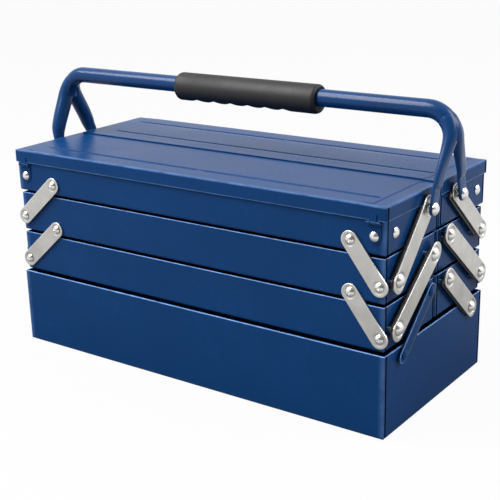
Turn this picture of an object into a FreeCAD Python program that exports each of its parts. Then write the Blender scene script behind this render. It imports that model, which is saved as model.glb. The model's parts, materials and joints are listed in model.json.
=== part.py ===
import FreeCAD, Part
import math
import os

import Sketcher

# Cantilever tool box: a deep base box, three trays on each side, two lids and a forked tube handle.
# Frame: X along the length, front side towards -Y, Z up, origin under the middle of the base box.

# Driving sizes, in millimetres and degrees
SIZES = {
    "box_length": 530.0,
    "box_width": 240.0,
    "box_height": 96.0,
    "box_sheet": 1.0,
    "tray_height": 49.0,
    "top_tray_height": 51.0,
    "tray_sheet": 0.8,
    "tier_gap": 3.5,
    "column_gap": 3.0,
    "tray_side_inset": 3.5,
    "top_tray_side_inset": 2.2,
    "tray_end_inset": 3.0,
    "top_tray_end_inset": 1.5,
    "wall_corner_radius": 4.0,
    "floor_edge_radius": 2.5,
    "hem_depth": 4.5,
    "hem_sheet": 0.8,
    "lid_sheet": 1.0,
    "lid_rim_gap": 0.5,
    "lid_skirt_depth": 16.0,
    "lid_edge_radius": 1.5,
    "lid_bead_width": 3.0,
    "lid_bead_height": 1.0,
    "groove_width": 3.0,
    "groove_depth": 0.4,
    "groove_outer_inset": 28.5,
    "groove_inner_inset": 28.0,
    "groove_end_inset": 27.0,
    "groove_middle_gap": 18.0,
    "hinge_end_inset": 15.0,
    "hinge_width": 16.0,
    "hinge_drop": 2.4,
    "hinge_stand_off": 2.6,
    "knuckle_radius": 2.2,
    "knuckle_middle": 7.0,
    "knuckle_gap": 0.3,
    "hinge_pin_radius": 1.1,
    "hinge_pin_overhang": 0.5,
    "leaf_sheet": 1.0,
    "leaf_top_gap": 0.4,
    "leaf_rivet_drop": 14.6,
    "lid_leaf_height": 7.0,
    "arm_width": 23.0,
    "plain_arm_width": 14.5,
    "arm_sheet": 2.0,
    "arm_overrun": 3.0,
    "link_width": 10.0,
    "link_sheet": 1.5,
    "link_wall_gap": 0.5,
    "arm_link_gap": 0.3,
    "running_gap": 0.05,
    "open_pivot_gap": 0.15,
    "face_gap": 0.1,
    "pivot_radius": 2.5,
    "pivot_collar_radius": 3.2,
    "pivot_head_radius": 4.2,
    "pivot_head_height": 1.5,
    "link_pin_radius": 2.0,
    "link_collar_radius": 3.0,
    "link_head_radius": 4.5,
    "link_head_height": 1.2,
    "dome_radius": 7.4,
    "dome_height": 2.6,
    "covered_dome_height": 1.0,
    "dome_lip": 0.6,
    "small_dome_radius": 5.4,
    "small_dome_height": 2.1,
    "end_dome_radius": 6.1,
    "small_shank_radius": 2.0,
    "bar_width": 20.0,
    "bar_sheet": 2.0,
    "bar_stand_off": 0.5,
    "bar_collar_radius": 5.0,
    "right_bar_inset": 43.0,
    "right_bar_run": 35.0,
    "left_bar_inset": 61.0,
    "left_bar_run": 52.5,
    "bar_drop": 46.0,
    "top_bar_rise": 12.0,
    "bar_rise": 7.0,
    "gusset_sheet": 1.5,
    "gusset_leg": 30.0,
    "gusset_height": 22.0,
    "gusset_corner_radius": 4.5,
    "gusset_rise": 20.5,
    "gusset_rivet_inset": 19.8,
    "handle_rise": 79.5,
    "handle_setback": -3.0,
    "handle_tube_radius": 10.0,
    "handle_tube_wall": 1.5,
    "handle_bend_radius": 30.0,
    "handle_lid_gap": 4.0,
    "handle_leg_radius": 8.5,
    "handle_leg_spread": 7.0,
    "handle_leg_bend": 20.0,
    "foot_width": 19.0,
    "foot_sheet": 5.0,
    "foot_plate_length": 18.0,
    "foot_taper_length": 38.0,
    "foot_gap": 0.4,
    "grip_length": 218.0,
    "grip_shift": 12.0,
    "grip_radius": 17.0,
    "grip_edge_radius": 5.0,
    "grip_hollow_radius": 14.0,
    "grip_hollow_depth": 3.0,
    "grip_hollow_pitch": 25.1,
    "grip_hollow_shift": -5.3,
}

# Pivots of each tier: the low pivot is set in from the outer face and below the rim of the body under the
# tray; the high pivot is set in from the middle and above the floor of the tray; lean is the arm's angle past
# upright when the tray is fully out.
TIERS = {
    "front_lower": {"low_inset": 36.0, "low_drop": 9.0, "high_inset": 22.5, "high_rise": 40.0, "lean": 46.0},
    "front_middle": {"low_inset": 20.5, "low_drop": 28.0, "high_inset": 15.0, "high_rise": 28.0, "lean": 30.0},
    "front_upper": {"low_inset": 20.5, "low_drop": 27.5, "high_inset": 34.5, "high_rise": 32.0, "lean": 36.0},
    "rear_lower": {"low_inset": 36.0, "low_drop": 9.0, "high_inset": 22.5, "high_rise": 40.0, "lean": 46.0},
    "rear_middle": {"low_inset": 9.5, "low_drop": 25.0, "high_inset": 20.5, "high_rise": 40.0, "lean": 28.0},
    "rear_upper": {"low_inset": 11.5, "low_drop": 24.0, "high_inset": 33.5, "high_rise": 32.0, "lean": 45.0},
}

# The link of these tiers lies outside its arm; that of the others lies inside
LINKS_OUTSIDE = ("front_middle", "front_upper")
# The arms of this tier are narrow and painted
PLAIN_ARMS = ("front_lower",)

LEVELS = ("lower", "middle", "upper")
# Direction of each side along Y
SIDES = {"front": -1, "rear": 1}
# Direction of each end along X
ENDS = {"right": 1, "left": -1}
GRIP_HOLLOWS = 6

doc = FreeCAD.newDocument("CantileverToolBox")
sheet = doc.addObject("Spreadsheet::Sheet", "Sizes")
nodes = []


def fill_sheet():
    """Write every driving size into the sheet, one row each."""
    cells = dict(SIZES)
    for tier, pivots in TIERS.items():
        for word, value in pivots.items():
            cells[f"{tier}_{word}"] = value
    for row, (alias, value) in enumerate(cells.items(), start=1):
        sheet.set(f"A{row}", alias.replace("_", " "))
        sheet.set(f"B{row}", str(value))
        sheet.setAlias(f"B{row}", alias)
    doc.recompute()


fill_sheet()


def size(alias):
    """One driving size, read from the sheet."""
    return float(sheet.get(alias))


def number(rule):
    """The value of a rule made of sheet sizes."""
    return float(sheet.evalExpression(rule))


# Rules for where the walls, floors and rims are

def floor_rule(level):
    """Height of a tray's underside."""
    steps = LEVELS.index(level)
    return f"Sizes.box_height + Sizes.tier_gap + {steps} * (Sizes.tray_height + Sizes.tier_gap)"


def rim_rule(level):
    """Height of the rim of a tray, or of the base box."""
    if level == "base":
        return "Sizes.box_height"
    tall = "Sizes.top_tray_height" if level == "upper" else "Sizes.tray_height"
    return f"{floor_rule(level)} + {tall}"


def outer_rule(level):
    """Distance of a long outer face from the middle plane."""
    insets = {"base": "0", "upper": "Sizes.top_tray_side_inset"}
    return f"Sizes.box_width / 2 - {insets.get(level, 'Sizes.tray_side_inset')}"


def end_rule(level):
    """Distance of an end wall's outer face from the middle."""
    insets = {"base": "0", "upper": "Sizes.top_tray_end_inset"}
    return f"Sizes.box_length / 2 - {insets.get(level, 'Sizes.tray_end_inset')}"


LID_TOP = f"{rim_rule('upper')} + Sizes.lid_rim_gap + Sizes.lid_sheet"
SKIRT_LOW = f"{LID_TOP} - Sizes.lid_skirt_depth"

end_plane = size("box_length") / 2
link_plane = end_plane + size("link_wall_gap")
arm_plane = link_plane + size("link_sheet") + size("arm_link_gap")
arm_face = arm_plane + size("arm_sheet")
foot_plane = arm_face + size("face_gap") + size("dome_height") + size("foot_gap")
foot_face = foot_plane + size("foot_sheet")
tube_plane = end_plane + size("handle_lid_gap") + size("handle_tube_radius")
tube_top = number(LID_TOP) + size("handle_rise")


class Tier:
    """Pivots and swing of the arms and links under one tray."""

    def __init__(self, side, level):
        self.side = side
        self.level = level
        self.name = f"{side}_{level}"
        self.under = "base" if level == "lower" else LEVELS[LEVELS.index(level) - 1]
        row = {word: size(f"{self.name}_{word}") for word in TIERS[self.name]}
        low_out = number(outer_rule(self.under)) - row["low_inset"]
        low_up = number(rim_rule(self.under)) - row["low_drop"]
        high_out = size("column_gap") / 2 + row["high_inset"]
        high_up = number(floor_rule(level)) + row["high_rise"]
        rest = math.atan2(low_out - high_out, high_up - low_up)
        lean = math.radians(row["lean"])
        spacing = size("link_width") / 2 + size("pivot_collar_radius") + size("arm_link_gap")
        shift = spacing / math.sin(rest + lean)
        if self.name not in LINKS_OUTSIDE:
            shift = -shift
        across = shift * (math.sin(rest) + math.sin(lean))
        up = shift * (math.cos(lean) - math.cos(rest))
        self.low = (low_out, low_up)
        self.high = (high_out, high_up)
        self.link_low = (low_out + across, low_up + up)
        self.link_high = (high_out + across, high_up + up)
        self.length = math.hypot(low_out - high_out, high_up - low_up)


TIER = {f"{side}_{level}": Tier(side, level) for side in SIDES for level in LEVELS}


# Sketches, pads and pockets

def new_body(name):
    """Start a sub-part as a body whose label is its node name."""
    body = doc.addObject("PartDesign::Body", name)
    body.Label = name
    nodes.append(body)
    return body


def new_sketch(body, name, plane, offset_rule="0"):
    """Lay a sketch on one of the body's own planes, moved along the plane's normal."""
    sketch = body.newObject("Sketcher::SketchObject", name)
    origin_plane = next(item for item in body.Origin.OriginFeatures if item.Role == plane)
    sketch.AttachmentSupport = [(origin_plane, "")]
    sketch.MapMode = "FlatFace"
    sketch.setExpression("AttachmentOffset.Base.z", offset_rule)
    return sketch


def bind(sketch, kind, places, rule):
    """Add a dimension to a sketch and bind it to a rule; a distance keeps its points in rising order."""
    value = number(rule)
    if value < 0:
        places = places[2:] + places[:2]
        rule = f"-({rule})"
        value = -value
    index = sketch.addConstraint(Sketcher.Constraint(kind, *places, value))
    label = f"size{index}"
    sketch.renameConstraint(index, label)
    sketch.setExpression(f"Constraints.{label}", rule)


def draw_rectangle(sketch, left, right, low, high):
    """Draw a rectangle from the rules of its four sides."""
    xs = (number(left), number(right))
    ys = (number(low), number(high))
    corners = [(xs[0], ys[0]), (xs[1], ys[0]), (xs[1], ys[1]), (xs[0], ys[1])]
    first = sketch.GeometryCount
    for index in range(4):
        start = FreeCAD.Vector(*corners[index], 0)
        end = FreeCAD.Vector(*corners[(index + 1) % 4], 0)
        sketch.addGeometry(Part.LineSegment(start, end))
    for index in range(4):
        sketch.addConstraint(Sketcher.Constraint("Coincident", first + index, 2, first + (index + 1) % 4, 1))
    for index, kind in enumerate(("Horizontal", "Vertical", "Horizontal", "Vertical")):
        sketch.addConstraint(Sketcher.Constraint(kind, first + index))
    bind(sketch, "DistanceX", (-1, 1, first, 1), left)
    bind(sketch, "DistanceX", (-1, 1, first + 1, 1), right)
    bind(sketch, "DistanceY", (-1, 1, first, 1), low)
    bind(sketch, "DistanceY", (-1, 1, first + 2, 1), high)


def draw_slot(sketch, start, end, height, radius):
    """Draw a bar outline with round ends along the sketch's first axis; start and end are the arc centres."""
    x0, x1, middle, reach = (number(rule) for rule in (start, end, height, radius))
    first = sketch.GeometryCount
    normal = FreeCAD.Vector(0, 0, 1)
    right = Part.Circle(FreeCAD.Vector(x1, middle, 0), normal, reach)
    left = Part.Circle(FreeCAD.Vector(x0, middle, 0), normal, reach)
    low = Part.LineSegment(FreeCAD.Vector(x0, middle - reach, 0), FreeCAD.Vector(x1, middle - reach, 0))
    high = Part.LineSegment(FreeCAD.Vector(x1, middle + reach, 0), FreeCAD.Vector(x0, middle + reach, 0))
    sketch.addGeometry(low)
    sketch.addGeometry(Part.ArcOfCircle(right, -math.pi / 2, math.pi / 2))
    sketch.addGeometry(high)
    sketch.addGeometry(Part.ArcOfCircle(left, math.pi / 2, 3 * math.pi / 2))
    for index in range(4):
        sketch.addConstraint(Sketcher.Constraint("Tangent", first + index, 2, first + (index + 1) % 4, 1))
    sketch.addConstraint(Sketcher.Constraint("Horizontal", first))
    sketch.addConstraint(Sketcher.Constraint("Horizontal", first + 2))
    bind(sketch, "DistanceX", (-1, 1, first + 3, 3), start)
    bind(sketch, "DistanceX", (-1, 1, first + 1, 3), end)
    if middle == 0:
        sketch.addConstraint(Sketcher.Constraint("PointOnObject", first + 3, 3, -1))
    else:
        bind(sketch, "DistanceY", (-1, 1, first + 3, 3), height)
    bind(sketch, "Radius", (first + 3,), radius)


def draw_hole(sketch, across, up, radius):
    """Draw a round hole at a place worked out from the linkage; its radius is bound to the sizes."""
    centre = FreeCAD.Vector(across, up, 0)
    index = sketch.addGeometry(Part.Circle(centre, FreeCAD.Vector(0, 0, 1), number(radius)))
    for kind, value in (("DistanceX", across), ("DistanceY", up)):
        places = (-1, 1, index, 3) if value >= 0 else (index, 3, -1, 1)
        if value:
            sketch.addConstraint(Sketcher.Constraint(kind, *places, abs(value)))
    if not across:
        sketch.addConstraint(Sketcher.Constraint("PointOnObject", index, 3, -2))
    if not up:
        sketch.addConstraint(Sketcher.Constraint("PointOnObject", index, 3, -1))
    bind(sketch, "Radius", (index,), radius)


def pad(body, sketch, length, name):
    """Raise a sketch by a bound length along its normal."""
    feature = body.newObject("PartDesign::Pad", name)
    feature.Profile = sketch
    feature.setExpression("Length", length)
    return feature


def pocket(body, sketch, length, name, reversed_cut=False):
    """Sink a sketch by a bound length, against its normal unless reversed; length None cuts through."""
    feature = body.newObject("PartDesign::Pocket", name)
    feature.Profile = sketch
    if length is None:
        feature.Type = "ThroughAll"
    else:
        feature.setExpression("Length", length)
    feature.Reversed = reversed_cut
    return feature


def cut_through_ends(body, sketch, name):
    """Cut a sketch in the middle plane through both end walls."""
    feature = body.newObject("PartDesign::Pocket", name)
    feature.Profile = sketch
    feature.Type = "ThroughAll"
    feature.SideType = "Symmetric"
    return feature


def round_edges(body, name, radius, test):
    """Round every edge of the body so far that the test picks."""
    doc.recompute()
    base = body.Tip
    picked = [f"Edge{place}" for place, edge in enumerate(base.Shape.Edges, start=1) if test(edge.BoundBox)]
    feature = body.newObject("PartDesign::Fillet", name)
    feature.Base = (base, picked)
    feature.setExpression("Radius", radius)
    return feature


def near(first, second):
    """Whether two lengths are the same to a hundredth of a millimetre."""
    return abs(first - second) < 0.01


def upright(box):
    """Whether an edge's box is a vertical line."""
    return box.XLength < 0.01 and box.YLength < 0.01 and box.ZLength > 0.01


def flat_at(box, height):
    """Whether an edge's box lies flat at a height."""
    return near(box.ZMin, height) and near(box.ZMax, height)


# Base box and trays

def make_pan(name, level, low_side, high_side):
    """An open box of folded sheet with rounded corners and a rim hemmed inwards."""
    wall = "Sizes.box_sheet" if level == "base" else "Sizes.tray_sheet"
    floor = "0" if level == "base" else floor_rule(level)
    rim = rim_rule(level)
    end = end_rule(level)
    body = new_body(name)

    def outline(label, height, inset):
        sketch = new_sketch(body, label, "XY_Plane", height)
        draw_rectangle(sketch, f"-({end}) + {inset}", f"{end} - ({inset})",
                       f"{low_side} + {inset}", f"{high_side} - ({inset})")
        return sketch

    pad(body, outline("outline", floor, "0"), f"{rim} - ({floor})", "block")
    hem_low = number(rim) - size("hem_depth")
    pocket(body, outline("mouth", rim, f"{wall} + Sizes.hem_sheet"), "Sizes.hem_depth", "mouth_cut")
    cavity = outline("cavity", f"{rim} - Sizes.hem_depth", wall)
    pocket(body, cavity, f"{rim} - ({floor}) - Sizes.hem_depth - {wall}", "cavity_cut")
    outer_x = number(end)
    cavity_x = outer_x - number(wall)
    mouth_x = cavity_x - size("hem_sheet")

    def cavity_corner(box):
        return upright(box) and near(abs(box.XMin), cavity_x) and box.ZMax < hem_low + 0.01

    def mouth_corner(box):
        return upright(box) and near(abs(box.XMin), mouth_x) and box.ZMin > hem_low - 0.01

    def outer_corner(box):
        return upright(box) and near(abs(box.XMin), outer_x)

    round_edges(body, "cavity_corners", f"Sizes.wall_corner_radius - {wall}", cavity_corner)
    round_edges(body, "mouth_corners", f"Sizes.wall_corner_radius - {wall} - Sizes.hem_sheet", mouth_corner)
    round_edges(body, "corners", "Sizes.wall_corner_radius", outer_corner)
    round_edges(body, "floor_edge", "Sizes.floor_edge_radius", lambda box: flat_at(box, number(floor)))
    return body


def end_holes(side, level):
    """Places and radii of the rivet holes in a body's end walls, on one side of the middle."""
    sign = SIDES[side]
    holes = []
    if level != "base":
        tier = TIER[f"{side}_{level}"]
        holes.append((sign * tier.high[0], tier.high[1], "pivot"))
        holes.append((sign * tier.link_high[0], tier.link_high[1], "link_pin"))
    if level != "upper":
        above = "lower" if level == "base" else LEVELS[LEVELS.index(level) + 1]
        tier = TIER[f"{side}_{above}"]
        holes.append((sign * tier.low[0], tier.low[1], "pivot"))
        holes.append((sign * tier.link_low[0], tier.link_low[1], "link_pin"))
    else:
        holes.append((sign * gusset_rivet_out, gusset_rivet_up, "small_shank"))
    return holes


def drill_ends(body, holes):
    """Cut the rivet holes through both end walls of a body."""
    sketch = new_sketch(body, "end_holes", "YZ_Plane")
    for across, up, kind in holes:
        draw_hole(sketch, across, up, f"Sizes.{kind}_radius + Sizes.running_gap")
    cut_through_ends(body, sketch, "end_holes_cut")


def drill_side(body, side, places):
    """Cut rivet holes through the outer long wall only, from a plane inside the tray."""
    inside = f"{-SIDES[side]} * Sizes.box_width / 4"
    sketch = new_sketch(body, "side_holes", "XZ_Plane", inside)
    for across, up in places:
        draw_hole(sketch, across, up, "Sizes.small_shank_radius + Sizes.running_gap")
    pocket(body, sketch, None, "side_holes_cut", reversed_cut=SIDES[side] < 0)


upper_outer = number(outer_rule("upper"))
upper_end = number(end_rule("upper"))
gusset_rivet_out = upper_outer - size("gusset_rivet_inset")
gusset_rivet_up = number(floor_rule("upper")) + size("gusset_rise")
hinge_x = end_plane - size("hinge_end_inset")
hinge_out = upper_outer + size("hinge_stand_off")
hinge_up = number(SKIRT_LOW) - size("hinge_drop")
leaf_rivet_up = hinge_up - size("leaf_rivet_drop")
bar_top_x = {end: end_plane - size(f"{end}_bar_inset") for end in ENDS}
bar_run = {end: size(f"{end}_bar_run") for end in ENDS}


def bar_top_up(level):
    """Height of the upper rivet of the latch bars on one tray."""
    rise = size("top_bar_rise") if level == "upper" else size("bar_rise")
    return number(floor_rule(level)) + rise


def make_base():
    """The deep bottom box."""
    half = "Sizes.box_width / 2"
    body = make_pan("base_box", "base", f"-{half}", half)
    drill_ends(body, end_holes("front", "base") + end_holes("rear", "base"))


def make_tray(side, level):
    """One tray of a column, with its rivet holes."""
    inner = "Sizes.column_gap / 2"
    outer = outer_rule(level)
    if side == "front":
        body = make_pan(f"{side}_{level}_tray", level, f"-({outer})", f"-{inner}")
    else:
        body = make_pan(f"{side}_{level}_tray", level, inner, outer)
    drill_ends(body, end_holes(side, level))
    if level == "lower":
        return
    places = [(sign * bar_top_x[end], bar_top_up(level)) for end, sign in ENDS.items()]
    if level == "upper":
        places += [(sign * hinge_x, leaf_rivet_up) for sign in ENDS.values()]
    drill_side(body, side, places)


# Lids and their hinges

def across_rule(side, rule):
    """A rule for a distance from the middle plane, turned to the given side."""
    return f"{SIDES[side]} * ({rule})"


def draw_side_rectangle(sketch, side, left, right, near_rule, far_rule):
    """Draw a rectangle between two distances from the middle plane, on the given side."""
    bounds = [across_rule(side, near_rule), across_rule(side, far_rule)]
    if side == "front":
        bounds.reverse()
    draw_rectangle(sketch, left, right, *bounds)


def make_lid(side):
    """A flat lid with skirts on three sides, a bead at the middle, pressed grooves and hinge knuckles.

    Both lids have a pair of grooves near the outer edge, and the rear one has a long one near the middle too.
    """
    body = new_body(f"{side}_lid")
    half = "Sizes.box_length / 2"
    inner = "Sizes.column_gap / 2"
    outer = "Sizes.box_width / 2"
    outline = new_sketch(body, "outline", "XY_Plane", SKIRT_LOW)
    draw_side_rectangle(outline, side, f"-{half}", half, inner, outer)
    pad(body, outline, "Sizes.lid_skirt_depth", "block")
    hollow = new_sketch(body, "hollow", "XY_Plane", SKIRT_LOW)
    draw_side_rectangle(hollow, side, f"-({half}) + Sizes.lid_sheet", f"{half} - Sizes.lid_sheet",
                        f"-({inner})", f"{outer} - Sizes.lid_sheet")
    pocket(body, hollow, "Sizes.lid_skirt_depth - Sizes.lid_sheet", "hollow_cut", reversed_cut=True)
    far = number(outer)
    top = number(LID_TOP)

    def inner_corner(box):
        return upright(box) and near(abs(box.YMin), far - size("lid_sheet"))

    def outer_corner(box):
        return upright(box) and near(abs(box.YMin), far)

    def top_edge(box):
        return flat_at(box, top) and max(abs(box.YMin), abs(box.YMax)) > size("column_gap")

    round_edges(body, "inner_corners", "Sizes.wall_corner_radius - Sizes.lid_sheet", inner_corner)
    round_edges(body, "corners", "Sizes.wall_corner_radius", outer_corner)
    round_edges(body, "top_edges", "Sizes.lid_edge_radius", top_edge)
    bead = new_sketch(body, "bead", "XY_Plane", LID_TOP)
    draw_side_rectangle(bead, side, f"-{half} + Sizes.lid_edge_radius", f"{half} - Sizes.lid_edge_radius",
                        inner, f"{inner} + Sizes.lid_bead_width")
    pad(body, bead, "Sizes.lid_bead_height", "bead_fold")
    grooves = new_sketch(body, "grooves", "XY_Plane", LID_TOP)
    radius = "Sizes.groove_width / 2"
    end = f"{half} - Sizes.groove_end_inset"
    outer_row = across_rule(side, f"{outer} - Sizes.groove_outer_inset")
    inner_row = across_rule(side, f"{inner} + Sizes.groove_inner_inset")
    draw_slot(grooves, f"-({end})", "-Sizes.groove_middle_gap / 2", outer_row, radius)
    draw_slot(grooves, "Sizes.groove_middle_gap / 2", end, outer_row, radius)
    if side == "rear":
        draw_slot(grooves, f"-({end})", end, inner_row, radius)
    pocket(body, grooves, "Sizes.groove_depth", "groove_cut")
    add_lid_knuckles(body, side)


def add_lid_knuckles(body, side):
    """The middle knuckle of each hinge, on a short leaf that lies on the skirt."""
    inset = "Sizes.box_length / 2 - Sizes.hinge_end_inset"
    axis_out = f"{outer_rule('upper')} + Sizes.hinge_stand_off"
    axis_up = f"{SKIRT_LOW} - Sizes.hinge_drop"
    outer = "Sizes.box_width / 2"
    barrels = []
    for end, sign in ENDS.items():
        start = f"{sign} * ({inset}) - Sizes.knuckle_middle / 2"
        leaf = new_sketch(body, f"leaf_{end}", "YZ_Plane", start)
        draw_leaf = [across_rule(side, outer), across_rule(side, f"{outer} + Sizes.leaf_sheet")]
        if side == "front":
            draw_leaf.reverse()
        draw_rectangle(leaf, *draw_leaf, axis_up, f"{SKIRT_LOW} + Sizes.lid_leaf_height")
        pad(body, leaf, "Sizes.knuckle_middle", f"leaf_plate_{end}")
        barrel = new_sketch(body, f"barrel_{end}", "YZ_Plane", start)
        draw_hole(barrel, number(across_rule(side, axis_out)), number(axis_up), "Sizes.knuckle_radius")
        pad(body, barrel, "Sizes.knuckle_middle", f"knuckle_{end}")
        barrels.append(start)
    for end, start in zip(ENDS, barrels):
        bore = new_sketch(body, f"bore_{end}", "YZ_Plane", start)
        draw_hole(bore, number(across_rule(side, axis_out)), number(axis_up),
                  "Sizes.hinge_pin_radius + Sizes.running_gap")
        pocket(body, bore, "Sizes.knuckle_middle", f"bore_cut_{end}", reversed_cut=True)


def solid_box(low, high):
    """A block between two corners."""
    spans = [high[axis] - low[axis] for axis in range(3)]
    return Part.makeBox(*spans, FreeCAD.Vector(*low))


def shape_node(name, shape):
    """Add a finished shape as a sub-part of its own."""
    feature = doc.addObject("Part::Feature", name)
    feature.Label = name
    feature.Shape = shape
    nodes.append(feature)


def to_side(shape, side):
    """Turn a shape that is built on the rear side to the given side."""
    if side == "rear":
        return shape
    return shape.mirror(FreeCAD.Vector(0, 0, 0), FreeCAD.Vector(0, 1, 0))


def hinge_leaves(side):
    """Lower hinge leaves: round-ended tabs on the tray's face, each with two outer knuckles."""
    half = size("hinge_width") / 2
    gap_half = size("knuckle_middle") / 2 + size("knuckle_gap")
    knuckle = size("knuckle_radius")
    leaf_top = hinge_up - knuckle - size("leaf_top_gap")
    rivet = size("small_shank_radius") + size("running_gap")
    outward = FreeCAD.Vector(0, 1, 0)
    along = FreeCAD.Vector(1, 0, 0)
    leaves = []
    for sign in ENDS.values():
        x = sign * hinge_x
        face_low = upper_outer
        face_high = upper_outer + size("leaf_sheet")
        plate = solid_box((x - half, face_low, leaf_rivet_up), (x + half, face_high, leaf_top))
        end = Part.makeCylinder(half, size("leaf_sheet"), FreeCAD.Vector(x, face_low, leaf_rivet_up), outward)
        leaf = plate.fuse(end)
        for low, high in ((x - half, x - gap_half), (x + gap_half, x + half)):
            leaf = leaf.fuse(solid_box((low, face_low, leaf_top - 1), (high, face_high, hinge_up)))
            leaf = leaf.fuse(Part.makeCylinder(knuckle, high - low,
                                               FreeCAD.Vector(low, hinge_out, hinge_up), along))
        bore = Part.makeCylinder(size("hinge_pin_radius"), 2 * half,
                                 FreeCAD.Vector(x - half, hinge_out, hinge_up), along)
        hole = Part.makeCylinder(rivet, size("leaf_sheet"), FreeCAD.Vector(x, face_low, leaf_rivet_up), outward)
        leaves.append(leaf.cut(bore).cut(hole).removeSplitter())
    shape_node(f"{side}_hinge_leaves", to_side(Part.makeCompound(leaves), side))


def hinge_pins(side):
    """One pin through the knuckles of each hinge, held by the outer knuckles."""
    length = size("hinge_width") + 2 * size("hinge_pin_overhang")
    pins = []
    for sign in ENDS.values():
        start = FreeCAD.Vector(sign * hinge_x - length / 2, hinge_out, hinge_up)
        pins.append(Part.makeCylinder(size("hinge_pin_radius"), length, start, FreeCAD.Vector(1, 0, 0)))
    shape_node(f"{side}_hinge_pins", to_side(Part.makeCompound(pins), side))


def gussets(side):
    """L-shaped corner plates inside the upper tray, behind the lone rivets."""
    plate = size("gusset_sheet")
    leg = size("gusset_leg")
    corner_x = upper_end - size("tray_sheet")
    corner_y = upper_outer - size("tray_sheet")
    low = gusset_rivet_up - size("gusset_height") / 2
    high = low + size("gusset_height")
    hole = size("small_shank_radius") + size("running_gap")
    outer = solid_box((corner_x - leg, corner_y - leg, low), (corner_x, corner_y, high))
    inner = solid_box((corner_x - leg, corner_y - leg, low), (corner_x - plate, corner_y - plate, high))

    def corner_edges(shape, x, y):
        return [edge for edge in shape.Edges if upright(edge.BoundBox)
                and near(edge.BoundBox.XMin, x) and near(edge.BoundBox.YMin, y)]

    radius = size("gusset_corner_radius")
    outer = outer.makeFillet(radius, corner_edges(outer, corner_x, corner_y))
    inner = inner.makeFillet(radius - plate, corner_edges(inner, corner_x - plate, corner_y - plate))
    angle = outer.cut(inner)
    end_hole = Part.makeCylinder(hole, plate, FreeCAD.Vector(corner_x - plate, gusset_rivet_out, gusset_rivet_up),
                                 FreeCAD.Vector(1, 0, 0))
    side_hole = Part.makeCylinder(hole, plate, FreeCAD.Vector(hinge_x, corner_y - plate, leaf_rivet_up),
                                  FreeCAD.Vector(0, 1, 0))
    right = angle.cut(end_hole).cut(side_hole)
    left = right.mirror(FreeCAD.Vector(0, 0, 0), FreeCAD.Vector(1, 0, 0))
    shape_node(f"{side}_corner_gussets", to_side(Part.makeCompound([right, left]), side))


# Arms, links and latch bars

def frame_at(place, along, outward):
    """A placement whose first axis runs along a bar and whose third points out of the box."""
    along.normalize()
    rotation = FreeCAD.Rotation(along, outward.cross(along), outward, "XZY")
    return FreeCAD.Placement(place, rotation)


def place_flat(body, tier, low, high, plane, thickness, end):
    """Stand a bar against an end wall, from its low to its high pivot."""
    side = SIDES[tier.side]
    x = plane if end == "right" else -plane - thickness
    along = FreeCAD.Vector(0, side * (high[0] - low[0]), high[1] - low[1])
    body.Placement = frame_at(FreeCAD.Vector(x, side * low[0], low[1]), along, FreeCAD.Vector(1, 0, 0))


def length_rule(tier):
    """Distance between the two pivots of a tier's arm."""
    name = f"Sizes.{tier.name}"
    across = (f"{outer_rule(tier.under)} - {name}_low_inset"
              f" - Sizes.column_gap / 2 - {name}_high_inset")
    up = f"{floor_rule(tier.level)} + {name}_high_rise - ({rim_rule(tier.under)}) + {name}_low_drop"
    return f"sqrt(({across})^2 + ({up})^2)"


def make_arm(tier, end):
    """A flat bar between the two main pivots of a tier."""
    body = new_body(f"{tier.name}_arm_{end}")
    width = "Sizes.plain_arm_width" if tier.name in PLAIN_ARMS else "Sizes.arm_width"
    sketch = new_sketch(body, "outline", "XY_Plane")
    draw_slot(sketch, "-Sizes.arm_overrun", f"{length_rule(tier)} + Sizes.arm_overrun", "0", f"{width} / 2")
    for across in (0, tier.length):
        draw_hole(sketch, across, 0, "Sizes.pivot_radius + Sizes.running_gap")
    pad(body, sketch, "Sizes.arm_sheet", "plate")
    place_flat(body, tier, tier.low, tier.high, arm_plane, size("arm_sheet"), end)


def make_link(tier, end):
    """The narrow bar behind an arm that keeps the tray level; its upper hole is the loose one."""
    body = new_body(f"{tier.name}_link_{end}")
    sketch = new_sketch(body, "outline", "XY_Plane")
    draw_slot(sketch, "0", length_rule(tier), "0", "Sizes.link_width / 2")
    draw_hole(sketch, 0, 0, "Sizes.link_pin_radius + Sizes.running_gap")
    draw_hole(sketch, tier.length, 0, "Sizes.link_pin_radius + Sizes.open_pivot_gap")
    pad(body, sketch, "Sizes.link_sheet", "plate")
    place_flat(body, tier, tier.link_low, tier.link_high, link_plane, size("link_sheet"), end)


def make_latch_bar(side, level, end):
    """A short spring bar on the long face, riveted to one tray and lying over the tray below."""
    body = new_body(f"{side}_{level}_bar_{end}")
    sketch = new_sketch(body, "outline", "XY_Plane")
    draw_slot(sketch, "0", f"sqrt(Sizes.{end}_bar_run^2 + Sizes.bar_drop^2)", "0", "Sizes.bar_width / 2")
    for across in (0, math.hypot(bar_run[end], size("bar_drop"))):
        draw_hole(sketch, across, 0, "Sizes.small_shank_radius + Sizes.running_gap")
    pad(body, sketch, "Sizes.bar_sheet", "plate")
    side_sign = SIDES[side]
    face = number(outer_rule(level)) + size("bar_stand_off")
    place = FreeCAD.Vector(ENDS[end] * bar_top_x[end], side_sign * face, bar_top_up(level))
    along = FreeCAD.Vector(ENDS[end] * bar_run[end], 0, -size("bar_drop"))
    body.Placement = frame_at(place, along, FreeCAD.Vector(0, side_sign, 0))


# Rivets, each a turned solid; distances along a rivet are measured from the middle of the box

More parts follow.
